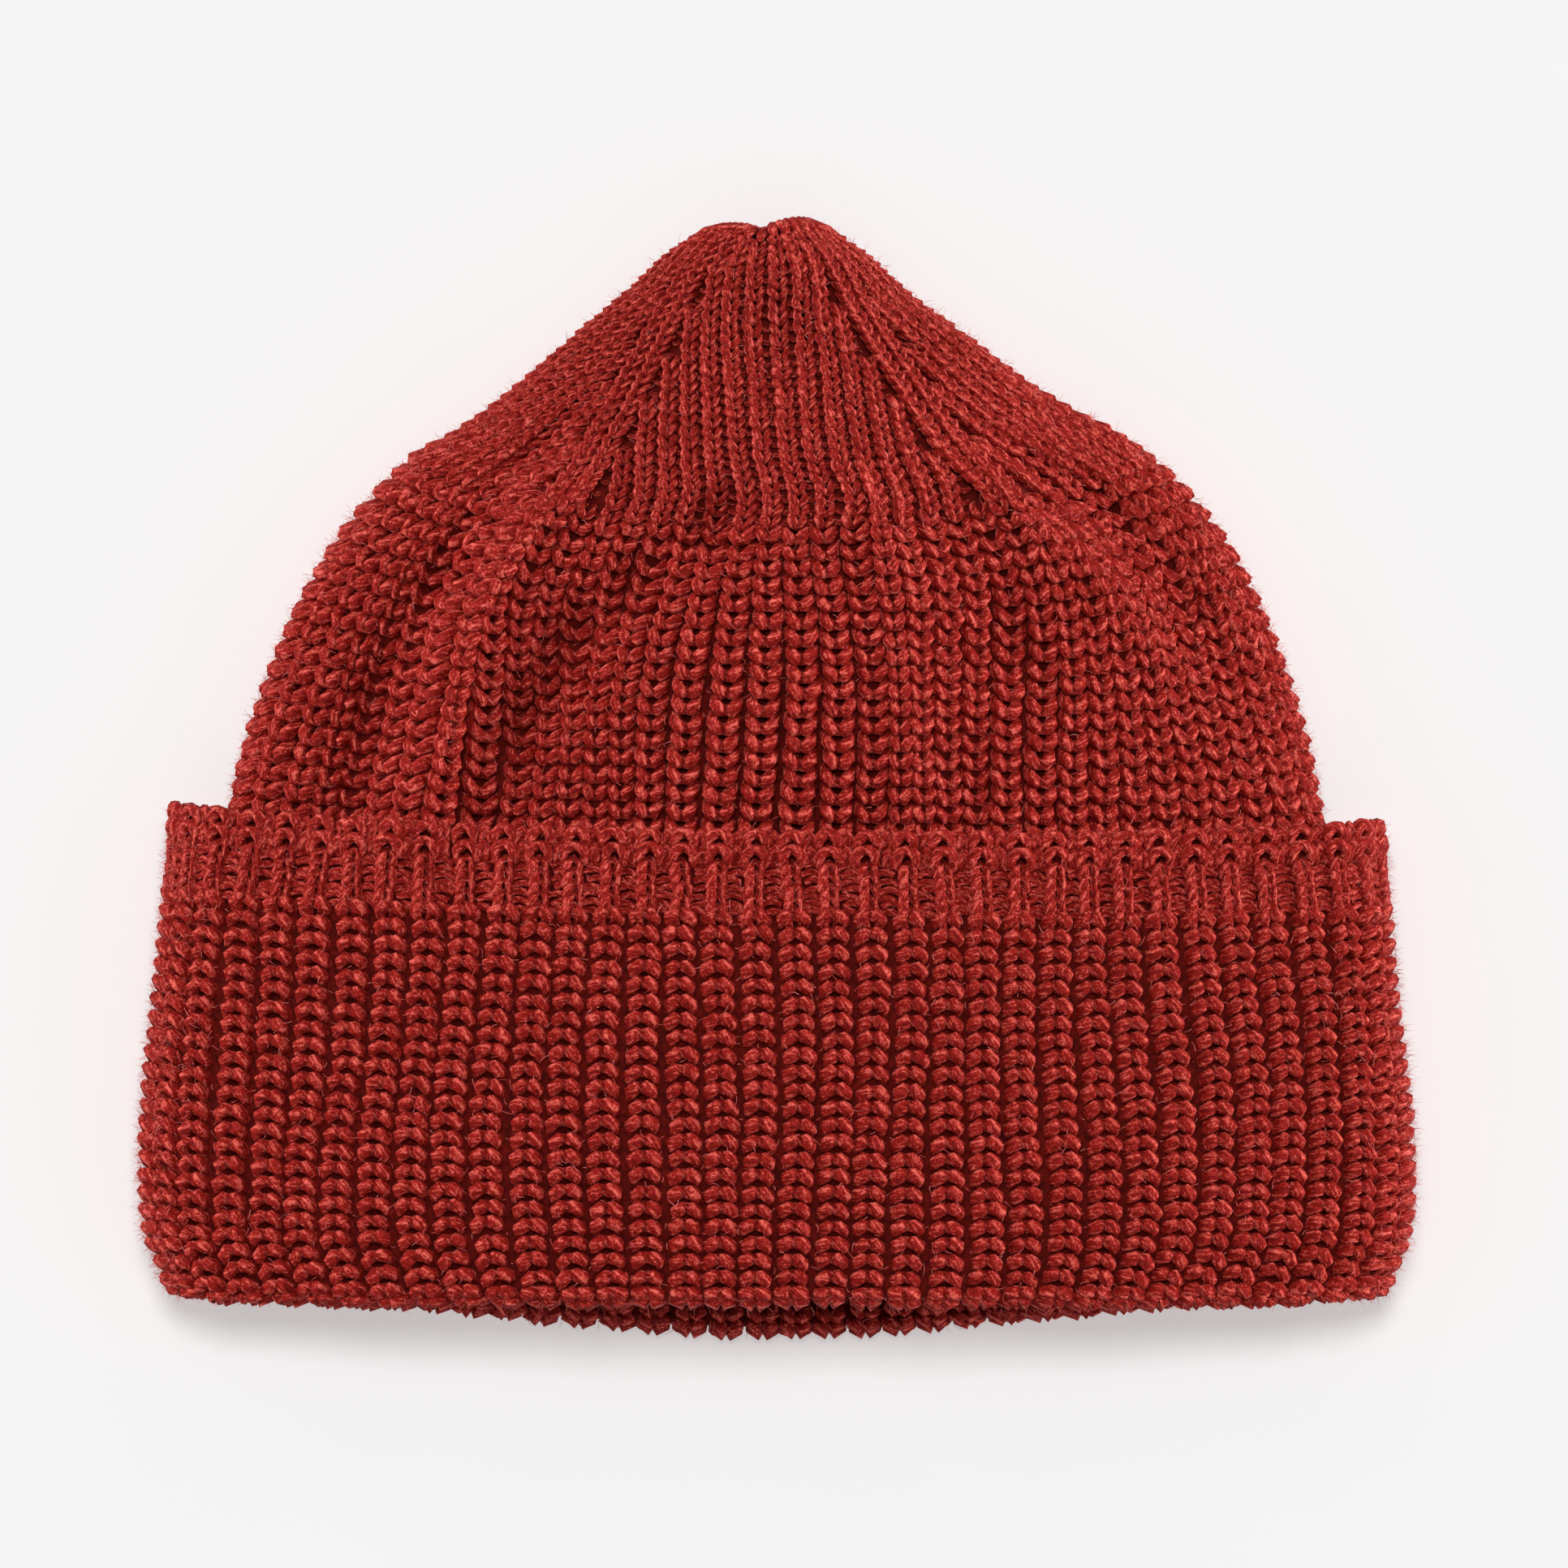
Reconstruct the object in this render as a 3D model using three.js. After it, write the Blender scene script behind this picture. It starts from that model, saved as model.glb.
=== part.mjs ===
// A cuffed beanie in chunky rib knit, lying on its back as it was laid down, with a little air left in it.
// Millimetres. X runs across the hat, Y from the bottom fold to the tip, Z up from the surface it lies on.
// The origin is the middle of the hat's outline on that surface.
import * as THREE from "three";

// Sizes of the whole hat
const WIDTH = 230; // across the cuff where it is widest
const LENGTH = 201.6; // from the back half's bottom fold to the tip
const LOFT = 42; // from the surface to the top of the cuff
const CUFF_HEIGHT = 86.5; // from the front's bottom fold to the cuff's upper edge
const CROWN_HEIGHT = 54.8; // from the first narrowing row to the tip, along the front
const BACK_REACH = 5.8; // how much further down the back half's fold lies than the front's
const ROW_BOW = 12.5; // how much higher the first narrowing row lies at the sides than in front
const EDGE_TILT = 1.6; // how much higher the cuff's edge lies at the left side
const TIP_LEAN = 1.8; // how far the tip lies off the middle
const SIDE_ROUND = 10; // radius of the body's outer face where it bends round its sides
const ARCH_POWER = 2.3; // how flat the arch of the front is: 2 is a plain arch, more is flatter
const ROW_BOW_POWER = 3; // how late towards the sides the rows turn up
const BACK_BOW_POWER = 4; // how soon towards the sides the back half's fold comes level with the front's
const DENT = 3; // the highest bulge or deepest dent that the air inside leaves

// The knit
const PANELS = 4; // gores of the crown, with a narrowing line between each two
const PANEL_RIBS = 18; // ribs of one panel below the crown
const TIP_RIBS = 8; // ribs of one panel at the tip
const KNIT = 4; // thickness of the cardigan rib of body and cuff, over its ribs
const CROWN_KNIT = 3.4; // thickness of the tighter rib of the crown
const EDGE_KNIT = 3.4; // thickness of the tight rows at the cuff's upper edge
const EDGE_BAND = 14.6; // height of those tight rows
const RIB_DEPTH = 1.5; // from a rib's ridge to the groove beside it
const RIDGE_SHARE = 0.56; // how much of a rib its flat ridge takes
const FOLD_GAP = 0.5; // between the two layers of the turned-up knit
const SIDE_AIR = 6; // how far the cuff stands off the body at the sides of its upper edge
const FOLD_TURN = 3; // how far the fold's knit reaches up inside the hat
const SEAM_GAP = 0.3; // between the pieces that are knitted on to each other
const GATHER_DEPTH = 2.5; // how far the drawn-in loops pull the tip inwards

const RIBS = PANELS * PANEL_RIBS;
const LAYER = KNIT + FOLD_GAP;
const FOLD_RADIUS = KNIT + FOLD_GAP / 2;
const TIP_Y = LENGTH / 2;
const BACK_FOLD_Y = -LENGTH / 2;
const FRONT_FOLD_Y = BACK_FOLD_Y + BACK_REACH;
const CROWN_Y = TIP_Y - CROWN_HEIGHT;
const BODY_HEIGHT = CROWN_Y - FRONT_FOLD_Y;

// Sections of the body's outer face. row is 0 at the bottom fold, 1 at the first narrowing row and 2 at the tip.
// half is a share of half the WIDTH, top of the LOFT, under of one LAYER of knit and bend of the SIDE_ROUND;
// rise, dip and lean are shares of ROW_BOW, BACK_REACH and TIP_LEAN. spread is how much wider than the mean rib
// the ribs in the middle of front and back are, and how much narrower those at the sides.
const SECTIONS = [
  { row: 0.0, half: 0.935, top: 0.8, under: 1, bend: 1, spread: 0, rise: 0.17, dip: 1.075, lean: 0 },
  { row: 0.2, half: 0.921, top: 0.886, under: 1, bend: 1, spread: 0, rise: 0.17, dip: 0.55, lean: 0 },
  { row: 0.4, half: 0.891, top: 0.895, under: 1, bend: 1, spread: 0, rise: 0.18, dip: 0.2, lean: 0 },
  { row: 0.62, half: 0.86, top: 0.886, under: 1, bend: 1, spread: 0, rise: 0.29, dip: 0, lean: 0 },
  { row: 0.7, half: 0.835, top: 0.905, under: 0.35, bend: 1, spread: 0.02, rise: 0.44, dip: 0, lean: 0.2 },
  { row: 0.8, half: 0.787, top: 0.929, under: 0, bend: 1, spread: 0.08, rise: 0.6, dip: 0, lean: 0.4 },
  { row: 0.9, half: 0.7165, top: 0.917, under: 0, bend: 1, spread: 0.15, rise: 0.8, dip: 0, lean: 0.55 },
  { row: 1.0, half: 0.593, top: 0.869, under: 0, bend: 0.95, spread: 0.2, rise: 1, dip: 0, lean: 0.6 },
  { row: 1.1, half: 0.523, top: 0.828, under: 0, bend: 0.92, spread: 0.22, rise: 0.97, dip: 0, lean: 0.9 },
  { row: 1.23, half: 0.432, top: 0.774, under: 0, bend: 0.86, spread: 0.25, rise: 0.92, dip: 0, lean: 0 },
  { row: 1.46, half: 0.313, top: 0.68, under: 0, bend: 0.76, spread: 0.32, rise: 0.8, dip: 0, lean: -0.6 },
  { row: 1.68, half: 0.215, top: 0.595, under: 0, bend: 0.68, spread: 0.4, rise: 0.56, dip: 0, lean: -1 },
  { row: 1.84, half: 0.165, top: 0.54, under: 0.3, bend: 0.62, spread: 0.4, rise: 0.28, dip: 0, lean: -1 },
  { row: 1.95, half: 0.117, top: 0.46, under: 1.1, bend: 0.5, spread: 0.25, rise: 0.08, dip: 0, lean: -1 },
  { row: 2.0, half: 0.06, top: 0.38, under: 1.8, bend: 0.35, spread: 0.1, rise: 0, dip: 0, lean: -1 },
];

// Rows at which the crown turns in to its flat tip, and rows at which its smooth inside has its rings
const TIP_ROWS = [1.84, 1.95, 2];
const CROWN_INSIDE_ROWS = [1, 1.15, 1.4, 1.65, TIP_ROWS[0]];
const CROWN_INSIDE_CUTS = 3; // ribs that each panel's inside loses from one of those rows to the next

// Rings of the bottom fold, as shares of its half turn
const FOLD_RINGS = [1 / 4, 1 / 2, 3 / 4];

// How far the cuff stands off the body at its sides, as shares of SIDE_AIR; up is a share of the cuff's height
const FLARE = [
  { up: 0, off: 0 },
  { up: 0.1, off: 0.6 },
  { up: 0.3, off: 0.85 },
  { up: 0.6, off: 0.95 },
  { up: 1, off: 1 },
];

// Soft bulges and dents of the front. across and wide are shares of the half width, row is as in SECTIONS and
// tall a share of the body's height; lift is a share of DENT, and negative for a dent.
const DENTS = [
  { name: "left knuckle", across: -0.64, wide: 0.12, row: 0.98, tall: 0.09, lift: 1 },
  { name: "right knuckle", across: 0.66, wide: 0.11, row: 0.99, tall: 0.08, lift: 1 },
  { name: "left fold", across: -0.6, wide: 0.08, row: 0.82, tall: 0.16, lift: 0.6 },
  { name: "left hollow", across: -0.36, wide: 0.14, row: 0.86, tall: 0.14, lift: -0.8 },
  { name: "middle fold", across: 0.03, wide: 0.16, row: 0.8, tall: 0.2, lift: 0.4 },
  { name: "right hollow", across: 0.26, wide: 0.08, row: 0.74, tall: 0.16, lift: -0.5 },
  { name: "left flank", across: -0.74, wide: 0.07, row: 0.8, tall: 0.15, lift: -0.7 },
  { name: "right flank", across: 0.8, wide: 0.12, row: 1.04, tall: 0.06, lift: -0.8 },
];

const mix = (a, b, t) => a + (b - a) * t;
const clamp01 = (t) => Math.min(1, Math.max(0, t));
const smooth = (t) => clamp01(t) ** 2 * (3 - 2 * clamp01(t));

// A smooth curve through a table's rows that never overshoots them: cubic pieces with limited slopes.
function through(table, at, column, place = (value) => value) {
  const x = table.map((r) => place(r[at]));
  const y = table.map((r) => r[column]);
  const step = x.slice(1).map((v, i) => v - x[i]);
  const slope = y.slice(1).map((v, i) => (v - y[i]) / step[i]);
  const tangent = y.map((_, i) => {
    if (i === 0) return slope[0];
    if (i === y.length - 1) return slope[i - 1];
    const [a, b] = [slope[i - 1], slope[i]];
    return a * b <= 0 ? 0 : (2 * a * b) / (a + b);
  });
  return (wanted) => {
    const value = place(wanted);
    let i = x.findIndex((v, k) => k > 0 && value <= v) - 1;
    if (i < 0) i = value <= x[0] ? 0 : x.length - 2;
    const t = clamp01((value - x[i]) / step[i]);
    const h = step[i];
    return (
      y[i] * (1 + 2 * t) * (1 - t) ** 2 +
      h * tangent[i] * t * (1 - t) ** 2 +
      y[i + 1] * t * t * (3 - 2 * t) +
      h * tangent[i + 1] * t * t * (t - 1)
    );
  };
}

// Y of a knit row at the middle of the front
const frontY = (row) => (row <= 1 ? mix(FRONT_FOLD_Y, CROWN_Y, row) : mix(CROWN_Y, TIP_Y, row - 1));
const rowAt = (y) => (y - FRONT_FOLD_Y) / BODY_HEIGHT;

const column = Object.fromEntries(
  ["half", "top", "under", "bend", "spread", "rise", "dip", "lean"].map((name) => [
    name,
    through(SECTIONS, "row", name, frontY),
  ]),
);
const flare = through(FLARE, "up", "off");

// The outline of a section, started at the middle of the front and run to +X: an arch over the front, a round side
// and a flat back. It gives the point at a share of the way round.
const ARCH_STEPS = 60;
const BEND_STEPS = 40;
function outline({ half, top, under, round }) {
  const wide = half - round;
  const centre = under + round;
  const arch = top - round - centre;
  const right = [];
  for (let i = 0; i <= ARCH_STEPS; i++) {
    const t = i / ARCH_STEPS;
    const slope = (-arch * ARCH_POWER * t ** (ARCH_POWER - 1)) / Math.max(wide, round);
    const lean = Math.hypot(slope, 1);
    right.push({ x: wide * t - (round * slope) / lean, z: centre + arch * (1 - t ** ARCH_POWER) + round / lean });
  }
  const last = Math.atan2(right.at(-1).z - centre, right.at(-1).x - wide);
  for (let i = 1; i <= BEND_STEPS; i++) {
    const angle = mix(last, -Math.PI / 2, i / BEND_STEPS);
    right.push({ x: wide + round * Math.cos(angle), z: centre + round * Math.sin(angle) });
  }
  const left = right.map(({ x, z }) => ({ x: -x, z })).reverse();
  const points = [...right, ...left];
  let length = 0;
  points.forEach((point, i) => {
    if (i) length += Math.hypot(point.x - points[i - 1].x, point.z - points[i - 1].z);
    point.length = length;
  });
  return (share) => {
    const wanted = (share - Math.floor(share)) * length;
    const i = Math.max(1, points.findIndex((point) => point.length >= wanted));
    const [a, b] = [points[i - 1], points[i]];
    const t = (wanted - a.length) / Math.max(1e-9, b.length - a.length);
    return { x: mix(a.x, b.x, t), z: mix(a.z, b.z, t) };
  };
}

// Front and back spread alike, so the spread of the ribs goes through two waves on its way round.
const SPREAD_WAVES = 2 * (2 * Math.PI);

// A layer of the hat: a function from a share of the way round and a knit row to a point on its outer face.
// off(row) widens the section at its sides, and layers lifts it by that many layers of knit all round.
function layer(layers, off) {
  const kept = new Map();
  const sectionAt = (row) => {
    if (!kept.has(row)) {
      const half = (WIDTH / 2) * column.half(row) + layers * LAYER + off(row);
      const top = LOFT * column.top(row) + layers * LAYER;
      const under = LAYER * (column.under(row) - layers);
      const round = Math.min(SIDE_ROUND * column.bend(row) + layers * LAYER, (top - under) / 2);
      kept.set(row, { half, top, waist: under + round, at: outline({ half, top, under, round }) });
    }
    return kept.get(row);
  };
  return (share, row) => {
    const { half, top, waist, at } = sectionAt(row);
    const { x, z } = at(share + (column.spread(row) * Math.sin(SPREAD_WAVES * share)) / SPREAD_WAVES);
    const across = x / half;
    const facing = smooth((z - waist) / (top - waist));
    const lift = DENTS.reduce((sum, d) => {
      const dx = (across - d.across) / d.wide;
      const dy = (frontY(row) - frontY(d.row)) / (d.tall * BODY_HEIGHT);
      return sum + d.lift * Math.exp(-dx * dx - dy * dy);
    }, 0);
    const back = z < waist ? (1 - across * across) ** BACK_BOW_POWER : 0;
    const y =
      frontY(row) +
      ROW_BOW * column.rise(row) * Math.abs(across) ** ROW_BOW_POWER -
      BACK_REACH * column.dip(row) * back -
      EDGE_TILT * across * Math.sin(Math.PI * Math.min(row, 1));
    return new THREE.Vector3(x + TIP_LEAN * column.lean(row), y, z + DENT * lift * facing);
  };
}

const bodyFace = layer(0, () => 0);
const edgeRow = rowAt(FRONT_FOLD_Y + CUFF_HEIGHT);
const turnRow = rowAt(FRONT_FOLD_Y + FOLD_RADIUS);
const bandRow = rowAt(FRONT_FOLD_Y + CUFF_HEIGHT - EDGE_BAND);
const cuffFace = layer(1, (row) => SIDE_AIR * flare(clamp01((row - turnRow) / (edgeRow - turnRow))));

// The face's outward direction, from its slopes round the hat and along it.
const ROUND_STEP = 1e-3;
const ALONG_STEP = 4e-3;
function outwards(face, share, row) {
  const round = face(share + ROUND_STEP, row).sub(face(share - ROUND_STEP, row));
  const along = face(share, row + ALONG_STEP).sub(face(share, row - ALONG_STEP));
  return round.cross(along).normalize();
}

// A point sunk below a face by so many millimetres, and moved on towards the tip by a seam's gap if one is given
const sunk = (face, share, row, depth, seam = 0) =>
  face(share, row)
    .addScaledVector(outwards(face, share, row), -depth)
    .add(new THREE.Vector3(0, seam, 0));

// Where a ring of knit has its points. share is the place on the section's outline; rib is the place counted in
// ribs of the widest ring, so that the ribs of a narrower panel meet the same ribs in the ring below.
function place(panel, rib, ribs, sink) {
  return {
    share: (panel + rib / ribs - 1 / 2) / PANELS,
    rib: panel * PANEL_RIBS + (PANEL_RIBS - ribs) / 2 + rib,
    sink,
  };
}
function places(ribs, shape) {
  const ring = [];
  for (let panel = 0; panel < PANELS; panel++) {
    for (let rib = 0; rib < ribs; rib++) {
      shape.forEach(({ at, sink }) => ring.push(place(panel, rib + at, ribs, sink)));
    }
  }
  return ring;
}
const flatRibs = (ribs) =>
  places(ribs, [
    { at: 0, sink: RIB_DEPTH },
    { at: (1 - RIDGE_SHARE) / 2, sink: 0 },
    { at: (1 + RIDGE_SHARE) / 2, sink: 0 },
  ]);
const sharpRibs = (ribs) =>
  places(ribs, [
    { at: 0, sink: RIB_DEPTH },
    { at: 1 / 2, sink: 0 },
  ]);
const plainRound = (ribs) => places(ribs, [{ at: 0, sink: 0 }]);

// Collects rings of points and the triangles between them into one closed surface.
class Knit {
  positions = [];
  triangles = [];
  add(point) {
    this.positions.push(point.x, point.y, point.z);
    return this.positions.length / 3 - 1;
  }
  ring(spots, pointAt) {
    return spots.map((spot) => ({ rib: spot.rib, index: this.add(pointAt(spot)) }));
  }
  // Joins two rings whose points may differ in number, always stepping on the one that lags behind.
  join(a, b) {
    let [i, j] = [0, 0];
    const at = (ring, k) => ring[k % ring.length].rib + RIBS * Math.floor(k / ring.length);
    while (i < a.length || j < b.length) {
      const [p, q] = [a[i % a.length].index, b[j % b.length].index];
      const stepA = j >= b.length || (i < a.length && at(a, i + 1) <= at(b, j + 1));
      if (stepA) this.triangles.push(p, a[++i % a.length].index, q);
      else this.triangles.push(p, b[++j % b.length].index, q);
    }
  }
  joinAll(rings) {
    rings.slice(1).forEach((ring, i) => this.join(rings[i], ring));
  }
  // Closes a ring on one point in its middle.
  close(ring, point) {
    const middle = this.add(point);
    ring.forEach((spot, i) => this.triangles.push(spot.index, ring[(i + 1) % ring.length].index, middle));
  }
  geometry() {
    const made = new THREE.BufferGeometry();
    made.setAttribute("position", new THREE.Float32BufferAttribute(this.positions, 3));
    made.setIndex(this.triangles);
    made.computeVertexNormals();
    return made;
  }
}

const wool = new THREE.MeshStandardMaterial({ color: "#9a2d24", roughness: 0.95, metalness: 0 });

function piece(name, geometry) {
  const mesh = new THREE.Mesh(geometry, wool);
  mesh.name = name;
  return mesh;
}

// Rows spaced evenly from one to another
const rowsBetween = (from, to, count) => Array.from({ length: count }, (_, i) => mix(from, to, i / (count - 1)));

// The side wall, from inside the bottom fold to the first narrowing row. Its ribs show above the cuff only.
function body() {
  const knit = new Knit();
  const start = rowAt(FRONT_FOLD_Y + FOLD_RADIUS + FOLD_TURN + SEAM_GAP);
  const covered = [start, bandRow].map((row) => knit.ring(plainRound(PANEL_RIBS), (p) => bodyFace(p.share, row)));
  const shown = rowsBetween(edgeRow, 1, 7).map((row) =>
    knit.ring(flatRibs(PANEL_RIBS), (p) => sunk(bodyFace, p.share, row, p.sink)),
  );
  const within = [...rowsBetween(1, edgeRow, 4), start].map((row) =>
    knit.ring(plainRound(PANEL_RIBS), (p) => sunk(bodyFace, p.share, row, KNIT)),
  );
  knit.joinAll([...covered, ...shown, ...within, covered[0]]);
  return knit.geometry();
}

// The tight rows along the cuff's upper edge
function cuffEdge() {
  const knit = new Knit();
  const gap = (row) => (row === bandRow ? SEAM_GAP : 0);
  const outside = rowsBetween(bandRow, edgeRow, 3).map((row) =>
    knit.ring(sharpRibs(PANEL_RIBS), (p) => sunk(cuffFace, p.share, row, p.sink, gap(row))),
  );
  const within = [edgeRow, bandRow].map((row) =>
    knit.ring(plainRound(PANEL_RIBS), (p) => sunk(cuffFace, p.share, row, EDGE_KNIT, gap(row))),
  );
  knit.joinAll([...outside, ...within, outside[0]]);
  return knit.geometry();
}

// The turned-up band with the bottom fold, whose knit goes on a little way inside the hat.
function cuff() {
  const knit = new Knit();
  const turnedIn = turnRow + FOLD_TURN / BODY_HEIGHT;
  const upRows = rowsBetween(bandRow, turnRow, 4);
  const outside = upRows.map((row) => knit.ring(flatRibs(PANEL_RIBS), (p) => sunk(cuffFace, p.share, row, p.sink)));
  const turn = (share, turned, radiusLess) => {
    const angle = Math.PI * turned;
    const a = cuffFace(share, turnRow);
    const b = sunk(bodyFace, share, turnRow, KNIT);
    const centre = a.clone().add(b).multiplyScalar(1 / 2);
    const arm = a.sub(b).multiplyScalar(1 / 2);
    const radius = arm.length();
    const less = (radius - radiusLess) / radius;
    const down = new THREE.Vector3(0, -radius, 0);
    return centre.addScaledVector(arm, Math.cos(angle) * less).addScaledVector(down, Math.sin(angle) * less);
  };
  const round = FOLD_RINGS.map((turned) => knit.ring(flatRibs(PANEL_RIBS), (p) => turn(p.share, turned, p.sink)));
  const within = [turnRow, turnedIn].map((row) =>
    knit.ring(flatRibs(PANEL_RIBS), (p) => sunk(bodyFace, p.share, row, KNIT - p.sink)),
  );
  const slitUp = knit.ring(plainRound(PANEL_RIBS), (p) => sunk(bodyFace, p.share, turnedIn, 0));
  const slit = [FOLD_RINGS[2], FOLD_RINGS[0]].map((turned) =>
    knit.ring(plainRound(PANEL_RIBS), (p) => turn(p.share, turned, KNIT)),
  );
  const lining = rowsBetween(turnRow, bandRow, 3).map((row) =>
    knit.ring(plainRound(PANEL_RIBS), (p) => sunk(cuffFace, p.share, row, KNIT)),
  );
  const rings = [...outside, ...round, ...within, slitUp, ...slit, ...lining].reverse();
  knit.joinAll([...rings, rings[0]]);
  return knit.geometry();
}

// The crown: the ribs of each panel run straight up, and the narrowing lines between panels cut them off in turn.
function crown() {
  const knit = new Knit();
  const cuts = (PANEL_RIBS - TIP_RIBS) / 2;
  const gap = (row) => (row === 1 ? SEAM_GAP : 0);
  const outer = Array.from({ length: cuts + 1 }, (_, i) => {
    const row = mix(1, TIP_ROWS[0], i / cuts);
    return knit.ring(sharpRibs(PANEL_RIBS - 2 * i), (p) => sunk(bodyFace, p.share, row, p.sink, gap(row)));
  });
  const rim = TIP_ROWS.slice(1).map((row) =>
    knit.ring(sharpRibs(TIP_RIBS), (p) => sunk(bodyFace, p.share, row, p.sink / 2)),
  );
  const inner = CROWN_INSIDE_ROWS.map((row, i) => {
    const thickness = row === 1 ? KNIT : CROWN_KNIT;
    const ribs = PANEL_RIBS - CROWN_INSIDE_CUTS * i;
    return knit.ring(plainRound(ribs), (p) => sunk(bodyFace, p.share, row, thickness, gap(row)));
  });
  knit.joinAll([...inner.slice().reverse(), ...outer, ...rim]);
  const tip = bodyFace(0, 2);
  const under = bodyFace(0.5, 2);
  const gather = new THREE.Vector3(tip.x, TIP_Y - GATHER_DEPTH, (tip.z + under.z) / 2);
  knit.close(rim.at(-1), gather);
  knit.close(inner.at(-1).reverse(), gather.clone().setY(gather.y - CROWN_KNIT));
  return knit.geometry();
}

const hat = new THREE.Group();
hat.name = "cuffed_beanie";
hat.add(piece("body", body()), piece("crown", crown()), piece("cuff", cuff()), piece("cuff_edge", cuffEdge()));

export default hat;
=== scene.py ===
# %% [markdown]
# # A cuffed beanie in chunky rib knit
#
# The hat is one knitted tube of thick wool yarn. Four narrowing gores close it at the top, and its bottom
# is turned up into a deep cuff. It lies on its back half with a little air left in it.
#
# What the eye reads as "knitted" is the yarn itself: loop after loop, each a few millimetres across, with
# dark holes between them. A bump texture can't give those holes, so this lesson lays out every visible loop
# as a curve on the hat's surface and sweeps a strand of yarn along it with Geometry Nodes.

# %% Load the frame
import math

import bpy
import mathutils
import numpy as np
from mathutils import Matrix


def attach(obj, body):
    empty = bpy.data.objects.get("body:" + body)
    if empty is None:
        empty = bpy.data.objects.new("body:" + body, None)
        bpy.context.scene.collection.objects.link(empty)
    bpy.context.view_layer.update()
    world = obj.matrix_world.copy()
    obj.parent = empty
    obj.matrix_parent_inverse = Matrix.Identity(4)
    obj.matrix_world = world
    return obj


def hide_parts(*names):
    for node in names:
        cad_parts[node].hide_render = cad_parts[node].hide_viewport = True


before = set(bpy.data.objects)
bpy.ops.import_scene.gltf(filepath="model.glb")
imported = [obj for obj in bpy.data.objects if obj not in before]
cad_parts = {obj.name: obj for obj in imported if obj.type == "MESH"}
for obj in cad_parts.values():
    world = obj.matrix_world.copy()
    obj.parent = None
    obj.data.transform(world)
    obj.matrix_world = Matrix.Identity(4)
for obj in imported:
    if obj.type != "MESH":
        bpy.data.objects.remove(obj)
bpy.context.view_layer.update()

print("nodes of the frame:", sorted(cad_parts))

# %% [markdown]
# ## Camera, floor and light
#
# The hat was photographed from straight above with a long lens, lying on a bright white table. The only
# shadow is a soft one below the bottom fold, so the light comes from overhead and from beyond the tip. The
# outline of the hat is its brightest part, so much light also comes in low from both sides. Each of these
# is a distant panel here. The low ones light the hat alone, and the table glows a little, as a light table
# does.


# %% Colours from sRGB hex, nodes, materials and objects
def colour(hex_code):
    """Linear RGBA of an sRGB hex colour."""
    parts = [int(hex_code[i : i + 2], 16) / 255 for i in (1, 3, 5)]
    return tuple(p / 12.92 if p <= 0.04045 else ((p + 0.055) / 1.055) ** 2.4 for p in parts) + (1.0,)


def add(tree, kind, inputs=None, **settings):
    """Adds a node, sets its properties, and gives its inputs a value each or another node's output."""
    made = tree.nodes.new(kind)
    for name, value in settings.items():
        setattr(made, name, value)
    for name, value in (inputs or {}).items():
        socket = made.inputs[name]
        if isinstance(value, bpy.types.NodeSocket):
            tree.links.new(value, socket)
        else:
            socket.default_value = value
    return made


def new_material(name):
    """A material, its node tree and its shader."""
    made = bpy.data.materials.new(name)
    made.use_nodes = True
    return made, made.node_tree, made.node_tree.nodes["Principled BSDF"]


def put_in_scene(name, data):
    """A new object of the scene."""
    made = bpy.data.objects.new(name, data)
    scene.collection.objects.link(made)
    return made


# %% The camera, straight above
MM = 0.001
FRAME_WIDTH = 281.7 * MM  # what the photograph's width covers at the height of the knit
LENS, SENSOR = 500.0, 36.0
scene = bpy.context.scene
camera_data = bpy.data.cameras.new("camera")
camera_data.lens = LENS
camera_data.sensor_width = SENSOR
# over the middle of the photographed area, as far off as the lens asks for at the knit's height
camera = put_in_scene("camera", camera_data)
camera.location = (1.3 * MM, -0.2 * MM, FRAME_WIDTH * LENS / SENSOR + 25 * MM)
scene.camera = camera
print("camera height in metres:", round(camera.location.z, 3))

# %% The white table
FLOOR, tree, shader = new_material("opal acrylic light table")
place = add(tree, "ShaderNodeTexCoord")
speck = add(tree, "ShaderNodeTexNoise", {"Vector": place.outputs["Object"], "Scale": 40.0, "Detail": 2.0})
tone = add(tree, "ShaderNodeValToRGB", {"Fac": speck.outputs["Fac"]})
tone.color_ramp.elements[0].color = colour("#f1f1f1")
tone.color_ramp.elements[1].color = colour("#f4f4f4")
tree.links.new(tone.outputs["Color"], shader.inputs["Base Color"])
shader.inputs["Roughness"].default_value = 0.9
# lit from below, which lightens the shadow and the edge of the hat
shader.inputs["Emission Color"].default_value = colour("#ffffff")
shader.inputs["Emission Strength"].default_value = 0.41

floor_mesh = bpy.data.meshes.new("table")
HALF_TABLE = 4.0
floor_mesh.from_pydata(
    [(x * HALF_TABLE, y * HALF_TABLE, -0.05 * MM) for x, y in ((-1, -1), (1, -1), (1, 1), (-1, 1))],
    [],
    [(0, 1, 2, 3)],
)
floor_mesh.materials.append(FLOOR)
table = put_in_scene("table", floor_mesh)

# %% Lights
scene.view_settings.view_transform = "Standard"


def soft_light(name, toward, spread, power):
    """Light from a distant panel, the same all over the table. toward is where the panel hangs."""
    data = bpy.data.lights.new(name, "SUN")
    data.angle = math.radians(spread)
    data.energy = power
    light = put_in_scene(name, data)
    light.rotation_euler = mathutils.Vector(toward).to_track_quat("Z", "Y").to_euler()
    return light


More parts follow.
